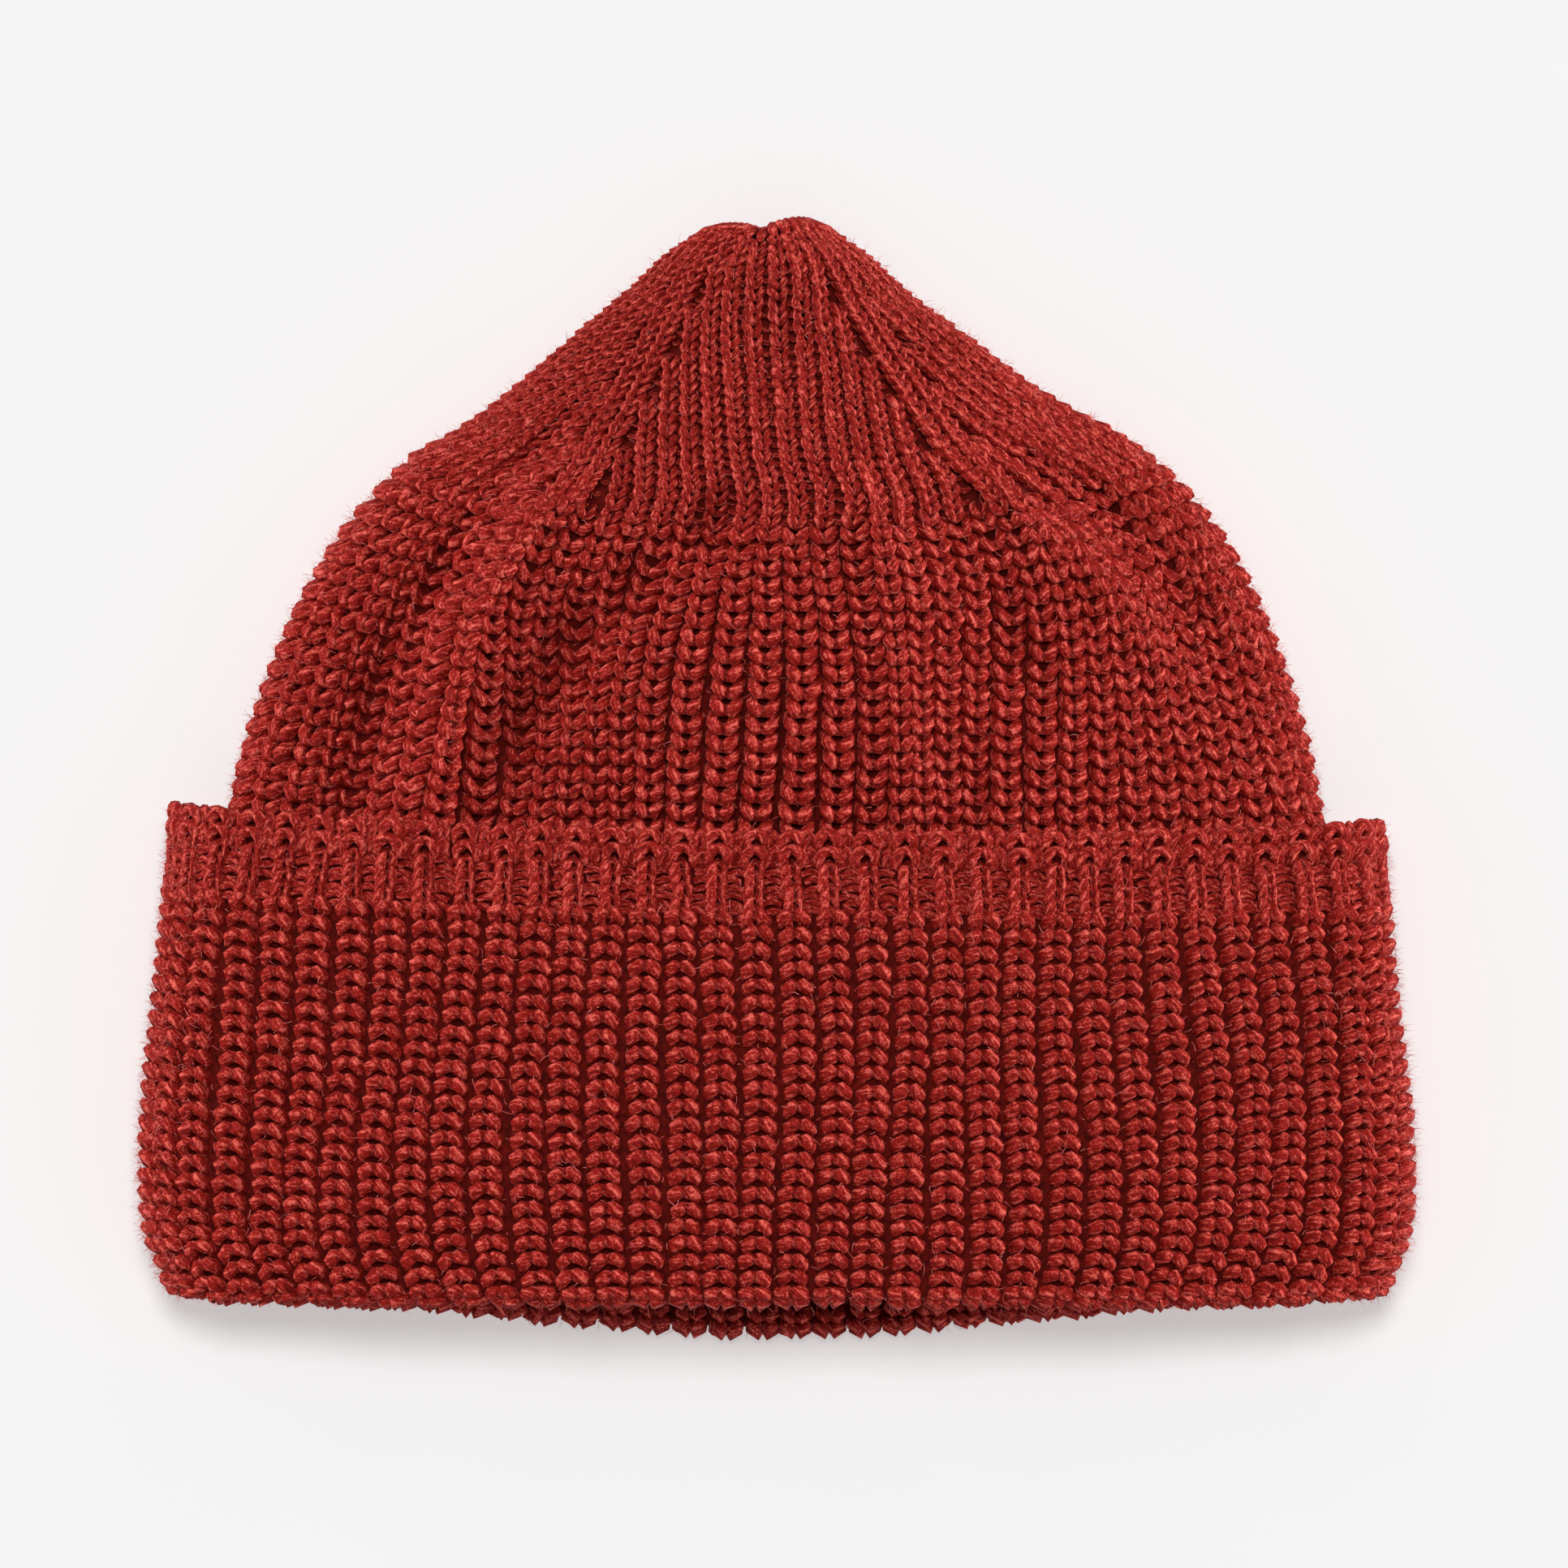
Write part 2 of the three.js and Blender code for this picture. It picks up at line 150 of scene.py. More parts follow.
low_panels = [
    soft_light("panel beyond the tip", (-0.1, 1.0, 0.8), 24, 1.2),
    soft_light("panel on the left", (-1.0, 0.2, 0.22), 30, 4.2),
    soft_light("panel on the right", (1.0, 0.1, 0.22), 30, 5.0),
    soft_light("panel before the brim", (0.0, -1.0, 0.3), 30, 0.9),
]
soft_light("panel overhead", (0.0, 0.26, 1.0), 16, 1.2)
# the table isn't lit by the low panels, whose shadows would be far longer than the photographed one
hat_only = bpy.data.collections.new("lit by the low panels")
for panel in low_panels:
    panel.light_linking.receiver_collection = hat_only
world = bpy.data.worlds.new("even light")
world.use_nodes = True
background = world.node_tree.nodes["Background"]
background.inputs["Color"].default_value = colour("#ffffff")
background.inputs["Strength"].default_value = 0.2
scene.world = world

# %% [markdown]
# ## The hat's surface
#
# The real hat's form comes from how it was knitted and how it fell: round sides, an arch over the front
# where air is left inside, a flat back on the table, and a crown that narrows to a drawn-in tip. It could
# be sculpted, but then the stitches would have nothing to follow. Here it is a rule instead: a table of
# cross-sections along the hat, each an arch, two round sides and a flat back. Every point has two
# addresses, how far round the hat and which knit row, and the yarn is laid out in those. The hat's solids
# follow the same rule. The folds are deeper and more detailed here, and the drawn-in tip is added.

# %% Sizes in millimetres
WIDTH = 230.0  # across the cuff
LENGTH = 201.6  # from the back half's fold to the tip
LOFT = 42.0  # height over the table
CUFF_HEIGHT = 86.5
CROWN_HEIGHT = 54.8  # from the first narrowing row to the tip
BACK_REACH = 5.8  # how much further down the back half's fold lies
ROW_BOW = 12.5  # how far the rows rise towards the sides
EDGE_TILT = 1.6  # how far they slant from one side to the other
TIP_LEAN = 1.8  # how far the hat leans sideways
SIDE_ROUND = 10.0  # radius of its sides
DENT = 5.2  # height of a bulge of 1 in the table of dents
KNIT = 4.0  # thickness of the knit
FOLD_GAP = 0.5  # between the cuff and the body under it
SIDE_AIR = 6.0  # how far the cuff's edge stands off at the sides
EDGE_BAND = 14.6  # depth of the tight band at the cuff's edge
PANELS, PANEL_RIBS, TIP_RIBS = 4, 18, 8  # gores, and ribs in each at its bottom and at the tip
ARCH_POWER, ROW_BOW_POWER, BACK_BOW_POWER = 2.3, 3, 4  # how the arch and the rows curve

LAYER = KNIT + FOLD_GAP
FOLD_RADIUS = KNIT + FOLD_GAP / 2
TIP_Y = LENGTH / 2
FRONT_FOLD_Y = BACK_REACH - LENGTH / 2
CROWN_Y = TIP_Y - CROWN_HEIGHT
BODY_HEIGHT = CROWN_Y - FRONT_FOLD_Y
RIBS = PANELS * PANEL_RIBS

# row is 0 at the bottom fold, 1 at the first narrowing row and 2 at the tip. The rest are shares of sizes:
# half the width, height of the front's top, height of the back's underside, radius of the sides, how much
# the ribs spread at the sides, how far rows rise there, how far they dip at the back, and the lean sideways
SECTION_NAMES = ("row", "half", "top", "under", "bend", "spread", "rise", "dip", "lean")
SECTIONS = np.array([
    (0.00, 0.935, 0.800, 1.00, 1.00, 0.00, 0.17, 1.075, 0.0),
    (0.20, 0.921, 0.886, 1.00, 1.00, 0.00, 0.17, 0.55, 0.0),
    (0.40, 0.891, 0.895, 1.00, 1.00, 0.00, 0.18, 0.20, 0.0),
    (0.62, 0.860, 0.886, 1.00, 1.00, 0.00, 0.29, 0.00, 0.0),
    (0.70, 0.835, 0.905, 0.35, 1.00, 0.02, 0.44, 0.00, 0.2),
    (0.80, 0.787, 0.929, 0.00, 1.00, 0.08, 0.60, 0.00, 0.4),
    (0.90, 0.7165, 0.917, 0.00, 1.00, 0.15, 0.80, 0.00, 0.55),
    (1.00, 0.593, 0.869, 0.00, 0.95, 0.20, 1.00, 0.00, 0.6),
    (1.10, 0.523, 0.828, 0.00, 0.92, 0.22, 0.97, 0.00, 0.9),
    (1.23, 0.432, 0.774, 0.00, 0.86, 0.25, 0.92, 0.00, 0.0),
    (1.46, 0.313, 0.680, 0.00, 0.76, 0.32, 0.80, 0.00, -0.6),
    (1.68, 0.215, 0.595, 0.00, 0.68, 0.40, 0.56, 0.00, -1.0),
    (1.84, 0.165, 0.540, 0.30, 0.62, 0.40, 0.28, 0.00, -1.0),
    (1.95, 0.117, 0.460, 1.10, 0.50, 0.25, 0.08, 0.00, -1.0),
    (2.00, 0.060, 0.380, 1.80, 0.35, 0.10, 0.00, 0.00, -1.0),
])
FLARE = np.array([(0, 0), (0.1, 0.6), (0.3, 0.85), (0.6, 0.95), (1, 1)])
# place and width as shares of half the hat's, row, height as a share of the body's, lift
DENTS = np.array([
    # the left fold: a valley, a ridge and a second valley, each followed down from the crown
    (-0.80, 0.06, 1.15, 0.06, -0.9),
    (-0.755, 0.06, 0.91, 0.08, -1.2),
    (-0.775, 0.06, 0.76, 0.09, -1.1),
    (-0.77, 0.06, 0.62, 0.08, -0.4),
    (-0.65, 0.09, 1.01, 0.07, 1.0),
    (-0.636, 0.05, 0.90, 0.07, 0.9),
    (-0.638, 0.05, 0.77, 0.09, 1.0),
    (-0.66, 0.06, 0.64, 0.07, 0.6),
    (-0.19, 0.09, 1.01, 0.05, -0.8),
    (-0.33, 0.08, 0.93, 0.06, -0.8),
    (-0.44, 0.07, 0.85, 0.06, -1.0),
    (-0.50, 0.07, 0.75, 0.07, -0.7),
    (-0.53, 0.07, 0.63, 0.09, -0.4),
    # the right fold
    (0.66, 0.08, 1.00, 0.06, 1.0),
    (0.72, 0.05, 0.90, 0.05, 0.8),
    (0.77, 0.04, 0.82, 0.05, 0.6),
    (0.75, 0.06, 1.10, 0.05, -1.1),
    (0.82, 0.06, 0.98, 0.06, -1.3),
    (0.86, 0.05, 0.87, 0.06, -1.2),
    (0.48, 0.10, 0.86, 0.09, -0.8),
    # the middle
    (0.27, 0.08, 1.00, 0.06, 0.6),
    (0.25, 0.06, 0.76, 0.18, 0.4),
    (0.03, 0.30, 1.62, 0.07, -0.7),
])

# where the tip is drawn together: x, width and height of each lobe and of the notch between them, in mm
PUCKERS = np.array([(-9.0, 5.0, 0.5), (4.0, 5.0, 1.5), (-2.9, 1.3, -0.8)])


# %% Smooth curves through a table
def front_y(row):
    """Y of a knit row at the middle of the front."""
    row = np.asarray(row, float)
    return np.where(
        row <= 1,
        FRONT_FOLD_Y + BODY_HEIGHT * row,
        CROWN_Y + CROWN_HEIGHT * (row - 1),
    )


def row_at(y):
    """The knit row at a Y of the middle of the front, below the crown."""
    return (y - FRONT_FOLD_Y) / BODY_HEIGHT


def through(x, y):
    """A curve through points that never overshoots them."""
    step, slope = np.diff(x), np.diff(y) / np.diff(x)
    a, b = slope[:-1], slope[1:]
    inner = np.where(a * b > 0, 2 * a * b / np.where(a * b > 0, a + b, 1), 0)
    tangent = np.concatenate([slope[:1], inner, slope[-1:]])

    def at(value):
        i = np.clip(np.searchsorted(x, value) - 1, 0, len(x) - 2)
        t = np.clip((value - x[i]) / step[i], 0, 1)
        return (
            y[i] * (1 + 2 * t) * (1 - t) ** 2
            + step[i] * tangent[i] * t * (1 - t) ** 2
            + y[i + 1] * t * t * (3 - 2 * t)
            + step[i] * tangent[i + 1] * t * t * (t - 1)
        )

    return at


COLUMN = {
    name: through(front_y(SECTIONS[:, 0]), SECTIONS[:, i])
    for i, name in enumerate(SECTION_NAMES)
    if i
}
flare = through(FLARE[:, 0], FLARE[:, 1])


# %% One section of the hat
def outline(half, top, under, bend):
    """Points of a section from the middle of the front round by +X, and their distance along it."""
    wide, centre = half - bend, under + bend
    arch = top - bend - centre
    t = np.linspace(0, 1, 61)
    slope = -arch * ARCH_POWER * t ** (ARCH_POWER - 1) / max(wide, bend)
    lean = np.hypot(slope, 1)
    x = wide * t - bend * slope / lean
    z = centre + arch * (1 - t**ARCH_POWER) + bend / lean
    last = math.atan2(z[-1] - centre, x[-1] - wide)
    angle = np.linspace(last, -math.pi / 2, 41)[1:]
    x = np.concatenate([x, wide + bend * np.cos(angle)])
    z = np.concatenate([z, centre + bend * np.sin(angle)])
    x, z = np.concatenate([x, -x[::-1]]), np.concatenate([z, z[::-1]])
    along = np.concatenate([[0], np.cumsum(np.hypot(np.diff(x), np.diff(z)))])
    return x, z, along


def smooth(t):
    t = np.clip(t, 0, 1)
    return t * t * (3 - 2 * t)


# %% A row of the hat's outer face
STEPS_ROUND = 1440
SHARES = np.arange(STEPS_ROUND) / STEPS_ROUND


def ring(row, layers, off):
    """Points round the hat at one knit row, in millimetres, started at the middle of the front."""
    y0 = float(front_y(row))
    c = {name: float(at(y0)) for name, at in COLUMN.items()}
    half = WIDTH / 2 * c["half"] + layers * LAYER + off
    top = LOFT * c["top"] + layers * LAYER
    under = LAYER * (c["under"] - layers)
    bend = min(SIDE_ROUND * c["bend"] + layers * LAYER, (top - under) / 2)
    x, z, along = outline(half, top, under, bend)
    wave = 4 * math.pi
    share = (SHARES + c["spread"] * np.sin(wave * SHARES) / wave) % 1
    x = np.interp(share * along[-1], along, x)
    z = np.interp(share * along[-1], along, z)
    across, waist = x / half, under + bend
    lift = sum(
        d[4] * np.exp(-(((across - d[0]) / d[1]) ** 2) - ((y0 - front_y(d[2])) / (d[3] * BODY_HEIGHT)) ** 2)
        for d in DENTS
    )
    back = np.where(z < waist, np.clip(1 - across**2, 0, 1) ** BACK_BOW_POWER, 0)
    y = (
        y0
        + ROW_BOW * c["rise"] * np.abs(across) ** ROW_BOW_POWER
        - BACK_REACH * c["dip"] * back
        - EDGE_TILT * across * math.sin(math.pi * min(row, 1))
    )
    z = z + DENT * lift * smooth((z - waist) / (top - waist))
    x = x + TIP_LEAN * c["lean"]
    drawn = smooth((row - 1.8) / 0.2)
    y = y + drawn * sum(p[2] * np.exp(-(((x - p[0]) / p[1]) ** 2)) for p in PUCKERS)
    return np.stack([x, y, z], axis=1)


# %% [markdown]
# ## Cloths
#
# A "cloth" is one stretch of the knit with its own two addresses: the share of the way round, and the
# distance along the knitting in millimetres. The body and crown are one cloth, knitted from the bottom to
# the tip. The cuff is another, which starts at its upper edge, runs down, goes round the bottom fold and
# ends inside the hat, just as the real knitting does. Its loops stand on their heads for that reason, as
# the real ones do.


# %% The cloth
class Cloth:
    """A grid of points and outward directions, read at any share of the way round and any distance along."""

    def __init__(self, rings, turned):
        self.points = np.array(rings)
        step = np.linalg.norm(np.diff(self.points[:, 0], axis=0), axis=1)
        self.along = np.concatenate([[0], np.cumsum(step)])
        sideways = np.roll(self.points, -1, axis=1) - np.roll(self.points, 1, axis=1)
        up = np.gradient(self.points, axis=0)
        normal = np.cross(sideways, up) * (-1 if turned else 1)
        self.normals = normal / np.linalg.norm(normal, axis=2, keepdims=True)

    def at(self, share, along, height=0.0):
        """Points so many millimetres over the cloth's face."""
        rows, columns = self.points.shape[:2]
        i = np.interp(along, self.along, np.arange(rows))
        i0 = np.clip(np.floor(i).astype(int), 0, rows - 2)
        ti = (i - i0)[..., None]
        j = (share % 1) * columns
        j0 = np.floor(j).astype(int) % columns
        tj = (j - np.floor(j))[..., None]
        j1 = (j0 + 1) % columns

        def blend(grid):
            return (grid[i0, j0] * (1 - tj) + grid[i0, j1] * tj) * (1 - ti) + (
                grid[i0 + 1, j0] * (1 - tj) + grid[i0 + 1, j1] * tj
            ) * ti

        return blend(self.points) + blend(self.normals) * np.asarray(height)[..., None]

    def row(self, share, along, height):
        """Points that all lie at the same distance along."""
        return self.at(share, np.full(len(share), along), np.full(len(share), height))


# %% The cloth of body and crown
EDGE_ROW = row_at(FRONT_FOLD_Y + CUFF_HEIGHT)
TURN_ROW = row_at(FRONT_FOLD_Y + FOLD_RADIUS)
body_rows = np.concatenate([np.linspace(TURN_ROW, 1, 300), np.linspace(1, 2, 140)[1:]])
BODY = Cloth([ring(row, 0, 0) for row in body_rows], False)
BODY_ALONG = through(np.array(body_rows), BODY.along)
print("body and crown, mm along the front:", round(BODY.along[-1], 1))

# %% The cloth of the cuff, from its edge round the fold to the inside
cuff_rows = np.linspace(EDGE_ROW, TURN_ROW, 220)
stand_off = [SIDE_AIR * float(flare((row - TURN_ROW) / (EDGE_ROW - TURN_ROW))) for row in cuff_rows]
outer = [ring(row, 1, off) for row, off in zip(cuff_rows, stand_off)]
inside_rows = np.linspace(TURN_ROW, TURN_ROW + 0.3, 70)
inside = [BODY.row(SHARES, float(BODY_ALONG(row)), -KNIT) for row in inside_rows]
centre, arm = (outer[-1] + inside[0]) / 2, (outer[-1] - inside[0]) / 2
radius = np.linalg.norm(arm, axis=1)
down = np.stack([0 * radius, -radius, 0 * radius], axis=1)
turn = [centre + arm * math.cos(a) + down * math.sin(a) for a in np.linspace(0, math.pi, 34)[1:-1]]
CUFF = Cloth(outer + turn + inside, True)
FOLD_ALONG = CUFF.along[len(outer) - 1]
print("cuff, mm along the front:", round(FOLD_ALONG, 1), "to the fold,", round(CUFF.along[-1], 1), "in all")

# %% [markdown]
# ## Wool yarn
#
# The yarn is woollen spun, three plies twisted together. Up close its colour is never even: dyed fibres run
# along it in streaks from deep to pale red. The pale end is also a painted glint: loose ends and the crests
# of the plies are coloured paler where real ones would catch the light. Each point of a strand knows how
# far along the yarn it is and where round it, so streaks and ply twist can follow the yarn through every
# loop. Wool is matt, and its edges look bright from fuzz. Hairs give most of that further below, and a touch
# of sheen gives the rest.


# %% The wool
def wool(name, deep, middle, pale):
    """Woollen-spun yarn: matt, streaked along its twist with partly painted glints, and a soft rim from its
    fuzz.
    """
    made, tree, shader = new_material(name)
    # x is millimetres along the strand, y and z the cosine and sine of the angle round it
    yarn = add(tree, "ShaderNodeAttribute", attribute_name="yarn")
    part = add(tree, "ShaderNodeSeparateXYZ", {"Vector": yarn.outputs["Vector"]})
    chance = add(tree, "ShaderNodeAttribute", attribute_name="chance")
    angle = add(tree, "ShaderNodeMath", {0: part.outputs["Z"], 1: part.outputs["Y"]}, operation="ARCTAN2")
    # three plies, with one full turn in 11 mm of yarn
    twist = add(tree, "ShaderNodeMath", {0: part.outputs["X"], 1: 2 * math.pi / 11}, operation="MULTIPLY")
    lag = add(tree, "ShaderNodeMath", {0: angle.outputs[0], 1: twist.outputs[0]}, operation="SUBTRACT")
    plies = add(tree, "ShaderNodeMath", {0: lag.outputs[0], 1: 3.0}, operation="MULTIPLY")
    ply = add(tree, "ShaderNodeMath", {0: plies.outputs[0]}, operation="SINE")
    # fibre streaks: fine round the yarn, long along it, turned with the plies
    across = add(tree, "ShaderNodeMath", {0: lag.outputs[0]}, operation="COSINE")
    over = add(tree, "ShaderNodeMath", {0: lag.outputs[0]}, operation="SINE")
    shift = add(tree, "ShaderNodeMath", {0: chance.outputs["Fac"], 1: 60.0}, operation="MULTIPLY")
    run = add(
        tree,
        "ShaderNodeMath",
        {0: part.outputs["X"], 1: 0.3, 2: shift.outputs[0]},
        operation="MULTIPLY_ADD",
    )
    helix = add(
        tree,
        "ShaderNodeCombineXYZ",
        {"X": run.outputs[0], "Y": across.outputs[0], "Z": over.outputs[0]},
    )
    streak = add(
        tree,
        "ShaderNodeTexNoise",
        {"Vector": helix.outputs[0], "Scale": 2.2, "Detail": 4.0, "Roughness": 0.7, "Lacunarity": 2.2},
    )
    # loose ends: a tangle, 0.9 mm across and finer, that doesn't follow the yarn; in the colour it adds
    # painted glints
    place = add(tree, "ShaderNodeTexCoord")
    tangle = add(
        tree,
        "ShaderNodeTexNoise",
        {"Vector": place.outputs["Object"], "Scale": 1 / (0.9 * MM), "Detail": 3.0, "Distortion": 1.4},
    )
    both = add(
        tree,
        "ShaderNodeMath",
        {0: tangle.outputs["Fac"], 1: 0.6, 2: streak.outputs["Fac"]},
        operation="MULTIPLY_ADD",
    )
    # colour from the streaks, the loose ends and a little of the ply twist, whose crests are painted paler as
    # a highlight
    fibre_tone_and_glints = add(
        tree,
        "ShaderNodeMath",
        {0: ply.outputs[0], 1: 0.05, 2: both.outputs[0]},
        operation="MULTIPLY_ADD",
    )
    # the pale end of this ramp is partly dyed fibre and partly painted glint
    tone = add(tree, "ShaderNodeValToRGB", {"Fac": fibre_tone_and_glints.outputs[0]})
    ramp = tone.color_ramp
    ramp.elements[0].position = 0.60
    ramp.elements[0].color = colour(deep)
    ramp.elements[1].position = 1.00
    ramp.elements[1].color = colour(pale)
    ramp.elements.new(0.81).color = colour(middle)
    tree.links.new(tone.outputs["Color"], shader.inputs["Base Color"])
    # plies and fibres stand about 0.3 mm proud, a little more than real ones, so that they show from afar
    relief = add(
        tree,
        "ShaderNodeMath",
        {0: ply.outputs[0], 1: 0.34, 2: both.outputs[0]},
        operation="MULTIPLY_ADD",
    )
    bump = add(tree, "ShaderNodeBump", {"Height": relief.outputs[0], "Strength": 0.9, "Distance": 0.45 * MM})
    tree.links.new(bump.outputs["Normal"], shader.inputs["Normal"])
    shader.inputs["Roughness"].default_value = 0.6
    shader.inputs["Specular IOR Level"].default_value = 0.08
    shader.inputs["Sheen Weight"].default_value = 0.05
    shader.inputs["Sheen Roughness"].default_value = 0.4
    shader.inputs["Sheen Tint"].default_value = colour("#ff8078")
    return made


WOOL = wool("wool yarn, dyed red", "#5a0602", "#880f08", "#d45c50")
print("materials:", [m.name for m in bpy.data.materials if m.users])

# %% [markdown]
# ## A strand of yarn along each loop
#
# Knitting repeats one form thousands of times, which is what Geometry Nodes are for. The tree takes a mesh
# that holds nothing but paths, turns it into curves, gives them the yarn's thickness, which may thin out
# where a loop dives behind its neighbour, and sweeps a ring round them. It also writes down each point's
# place on the yarn, for the wool above. A ring of four to seven sides is enough, because each strand is
# only 1 to 3 mm thick.


# %% How a tree starts and ends
def start_tree(name, inputs, result):
    """An empty tree with its named inputs and its result, and the node that gives the inputs."""
    tree = bpy.data.node_groups.new(name, "GeometryNodeTree")
    for label, kind in inputs.items():
        tree.interface.new_socket(label, in_out="INPUT", socket_type="NodeSocket" + kind)
    tree.interface.new_socket(result, in_out="OUTPUT", socket_type="NodeSocketGeometry")
    return tree, add(tree, "NodeGroupInput")


def end_tree(tree, given, geometry, result):
    """Makes instances real, gives the finish and hands the geometry out."""
    real = add(tree, "GeometryNodeRealizeInstances", {"Geometry": geometry}).outputs["Geometry"]
    done = add(tree, "GeometryNodeSetMaterial", {"Geometry": real, "Material": given.outputs["Finish"]})
    add(tree, "NodeGroupOutput", {result: done.outputs["Geometry"]})
    return tree


# %% The tree that sweeps the yarn
def yarn_tree():
    inputs = {"Paths": "Geometry", "Yarn Radius": "Float", "Sides": "Int", "Finish": "Material"}
    tree, given = start_tree("strand of yarn", inputs, "Strands")
    curve = add(tree, "GeometryNodeMeshToCurve", {"Mesh": given.outputs["Paths"]})
    thick = add(tree, "GeometryNodeInputNamedAttribute", {"Name": "thick"}, data_type="FLOAT")
    size = add(
        tree,
        "ShaderNodeMath",
        {0: thick.outputs["Attribute"], 1: given.outputs["Yarn Radius"]},
        operation="MULTIPLY",
    )
    length = add(tree, "GeometryNodeSplineParameter")
    in_mm = add(tree, "ShaderNodeMath", {0: length.outputs["Length"], 1: 1000.0}, operation="MULTIPLY")
    path = add(
        tree,
        "GeometryNodeStoreNamedAttribute",
        {"Geometry": curve.outputs["Curve"], "Name": "run", "Value": in_mm.outputs[0]},
        data_type="FLOAT",
        domain="POINT",
    )
    sides = given.outputs["Sides"]
    circle = add(tree, "GeometryNodeCurvePrimitiveCircle", {"Resolution": sides, "Radius": 1.0})
    spot = add(tree, "GeometryNodeInputPosition")
    profile = add(
        tree,
        "GeometryNodeStoreNamedAttribute",
        {"Geometry": circle.outputs["Curve"], "Name": "round", "Value": spot.outputs["Position"]},
        data_type="FLOAT_VECTOR",
        domain="POINT",
    )
    swept = add(
        tree,
        "GeometryNodeCurveToMesh",
        {
            "Curve": path.outputs["Geometry"],
            "Profile Curve": profile.outputs["Geometry"],
            "Scale": size.outputs[0],
            "Fill Caps": True,
        },
    )
    run = add(tree, "GeometryNodeInputNamedAttribute", {"Name": "run"}, data_type="FLOAT")
    turn_at = add(tree, "GeometryNodeInputNamedAttribute", {"Name": "round"}, data_type="FLOAT_VECTOR")
    split = add(tree, "ShaderNodeSeparateXYZ", {"Vector": turn_at.outputs["Attribute"]})
    joined = add(
        tree,
        "ShaderNodeCombineXYZ",
        {"X": run.outputs["Attribute"], "Y": split.outputs["X"], "Z": split.outputs["Y"]},
    )
    marked = add(
        tree,
        "GeometryNodeStoreNamedAttribute",
        {"Geometry": swept.outputs["Mesh"], "Name": "yarn", "Value": joined.outputs["Vector"]},
        data_type="FLOAT_VECTOR",
        domain="POINT",
    )
    soft = add(
        tree,
        "GeometryNodeSetShadeSmooth",
        {"Geometry": marked.outputs["Geometry"], "Shade Smooth": True},
    )
    return end_tree(tree, given, soft.outputs["Geometry"], "Strands")


YARN = yarn_tree()


# %% Run a tree and keep its result as a plain mesh
TRIANGLES = {}
PIECES = {}


def made_by(tree, name, mesh, values):
    """A plain mesh object from a node tree that runs on a mesh, with the tree's named inputs set."""
    source = put_in_scene(name, mesh)
    modifier = source.modifiers.new(tree.name, "NODES")
    modifier.node_group = tree
    for item in tree.interface.items_tree:
        if item.item_type == "SOCKET" and item.in_out == "INPUT" and item.name in values:
            modifier[item.identifier] = values[item.name]
    graph = bpy.context.evaluated_depsgraph_get()
    plain = bpy.data.meshes.new_from_object(source.evaluated_get(graph), depsgraph=graph)
    bpy.data.objects.remove(source)
    for left_over in ("run", "round", "thick"):
        if left_over in plain.attributes:
            plain.attributes.remove(plain.attributes[left_over])
    piece = put_in_scene(name, plain)
    plain.name = name
    TRIANGLES[name] = sum(len(p.vertices) - 2 for p in plain.polygons)
    print(f"{name}: {TRIANGLES[name]} triangles")
    return piece


def strands(name, node, paths, thick, chance, radius, sides):
    """A piece of yarn strands. paths is loops x points x 3, in millimetres."""
    loops, points = paths.shape[:2]
    # where the hat rests on the table its yarn is pressed up
    paths = np.concatenate([paths[..., :2], np.maximum(paths[..., 2:], (thick * radius)[..., None])], axis=-1)
    mesh = bpy.data.meshes.new(name)
    first = np.arange(loops)[:, None] * points + np.arange(points - 1)[None]
    edges = np.stack([first, first + 1], axis=-1).reshape(-1, 2)
    mesh.from_pydata((paths.reshape(-1, 3) * MM).tolist(), edges.tolist(), [])
    for label, values in (("thick", thick), ("chance", chance)):
        attribute = mesh.attributes.new(label, "FLOAT", "POINT")
        everywhere = np.broadcast_to(values, (loops, points)).astype(np.float32)
        attribute.data.foreach_set("value", everywhere.ravel())
    piece = made_by(YARN, name, mesh, {"Yarn Radius": radius * MM, "Sides": sides, "Finish": WOOL})
    PIECES[name] = (piece, node)


# %% [markdown]
# ## Loops
#
# A loop of rib knit is a cup: its bottom is pushed forward, its two legs rise apart and dive behind the
# next loop. Written as a short table it has four columns: how far across the rib, how far along in rows,
# how high over the cloth, and how thick the yarn is there. One smooth curve through the table gives the
# loop's path. Wide cups make the cardigan rib of the body, flatter ones whose legs sink at once the beans
# of the cuff, and narrow steep ones the tight rib of the crown. Yarn is soft, so where ribs crowd together
# it is squeezed thinner: each loop measures the rib it lies on.


# %% Loop forms
def form(rows, points):
    """A loop's path as points evenly spaced along it, from a table of its left half, mirrored."""
    half = np.array(rows, float)
    mirror = half[-2::-1] * np.array([-1, 1, 1, 1])
    whole = np.concatenate([half, mirror])
    x = np.arange(len(whole), dtype=float)
    at = np.linspace(0, len(whole) - 1, points)
    return np.stack([through(x, whole[:, i])(at) for i in range(4)], axis=1)


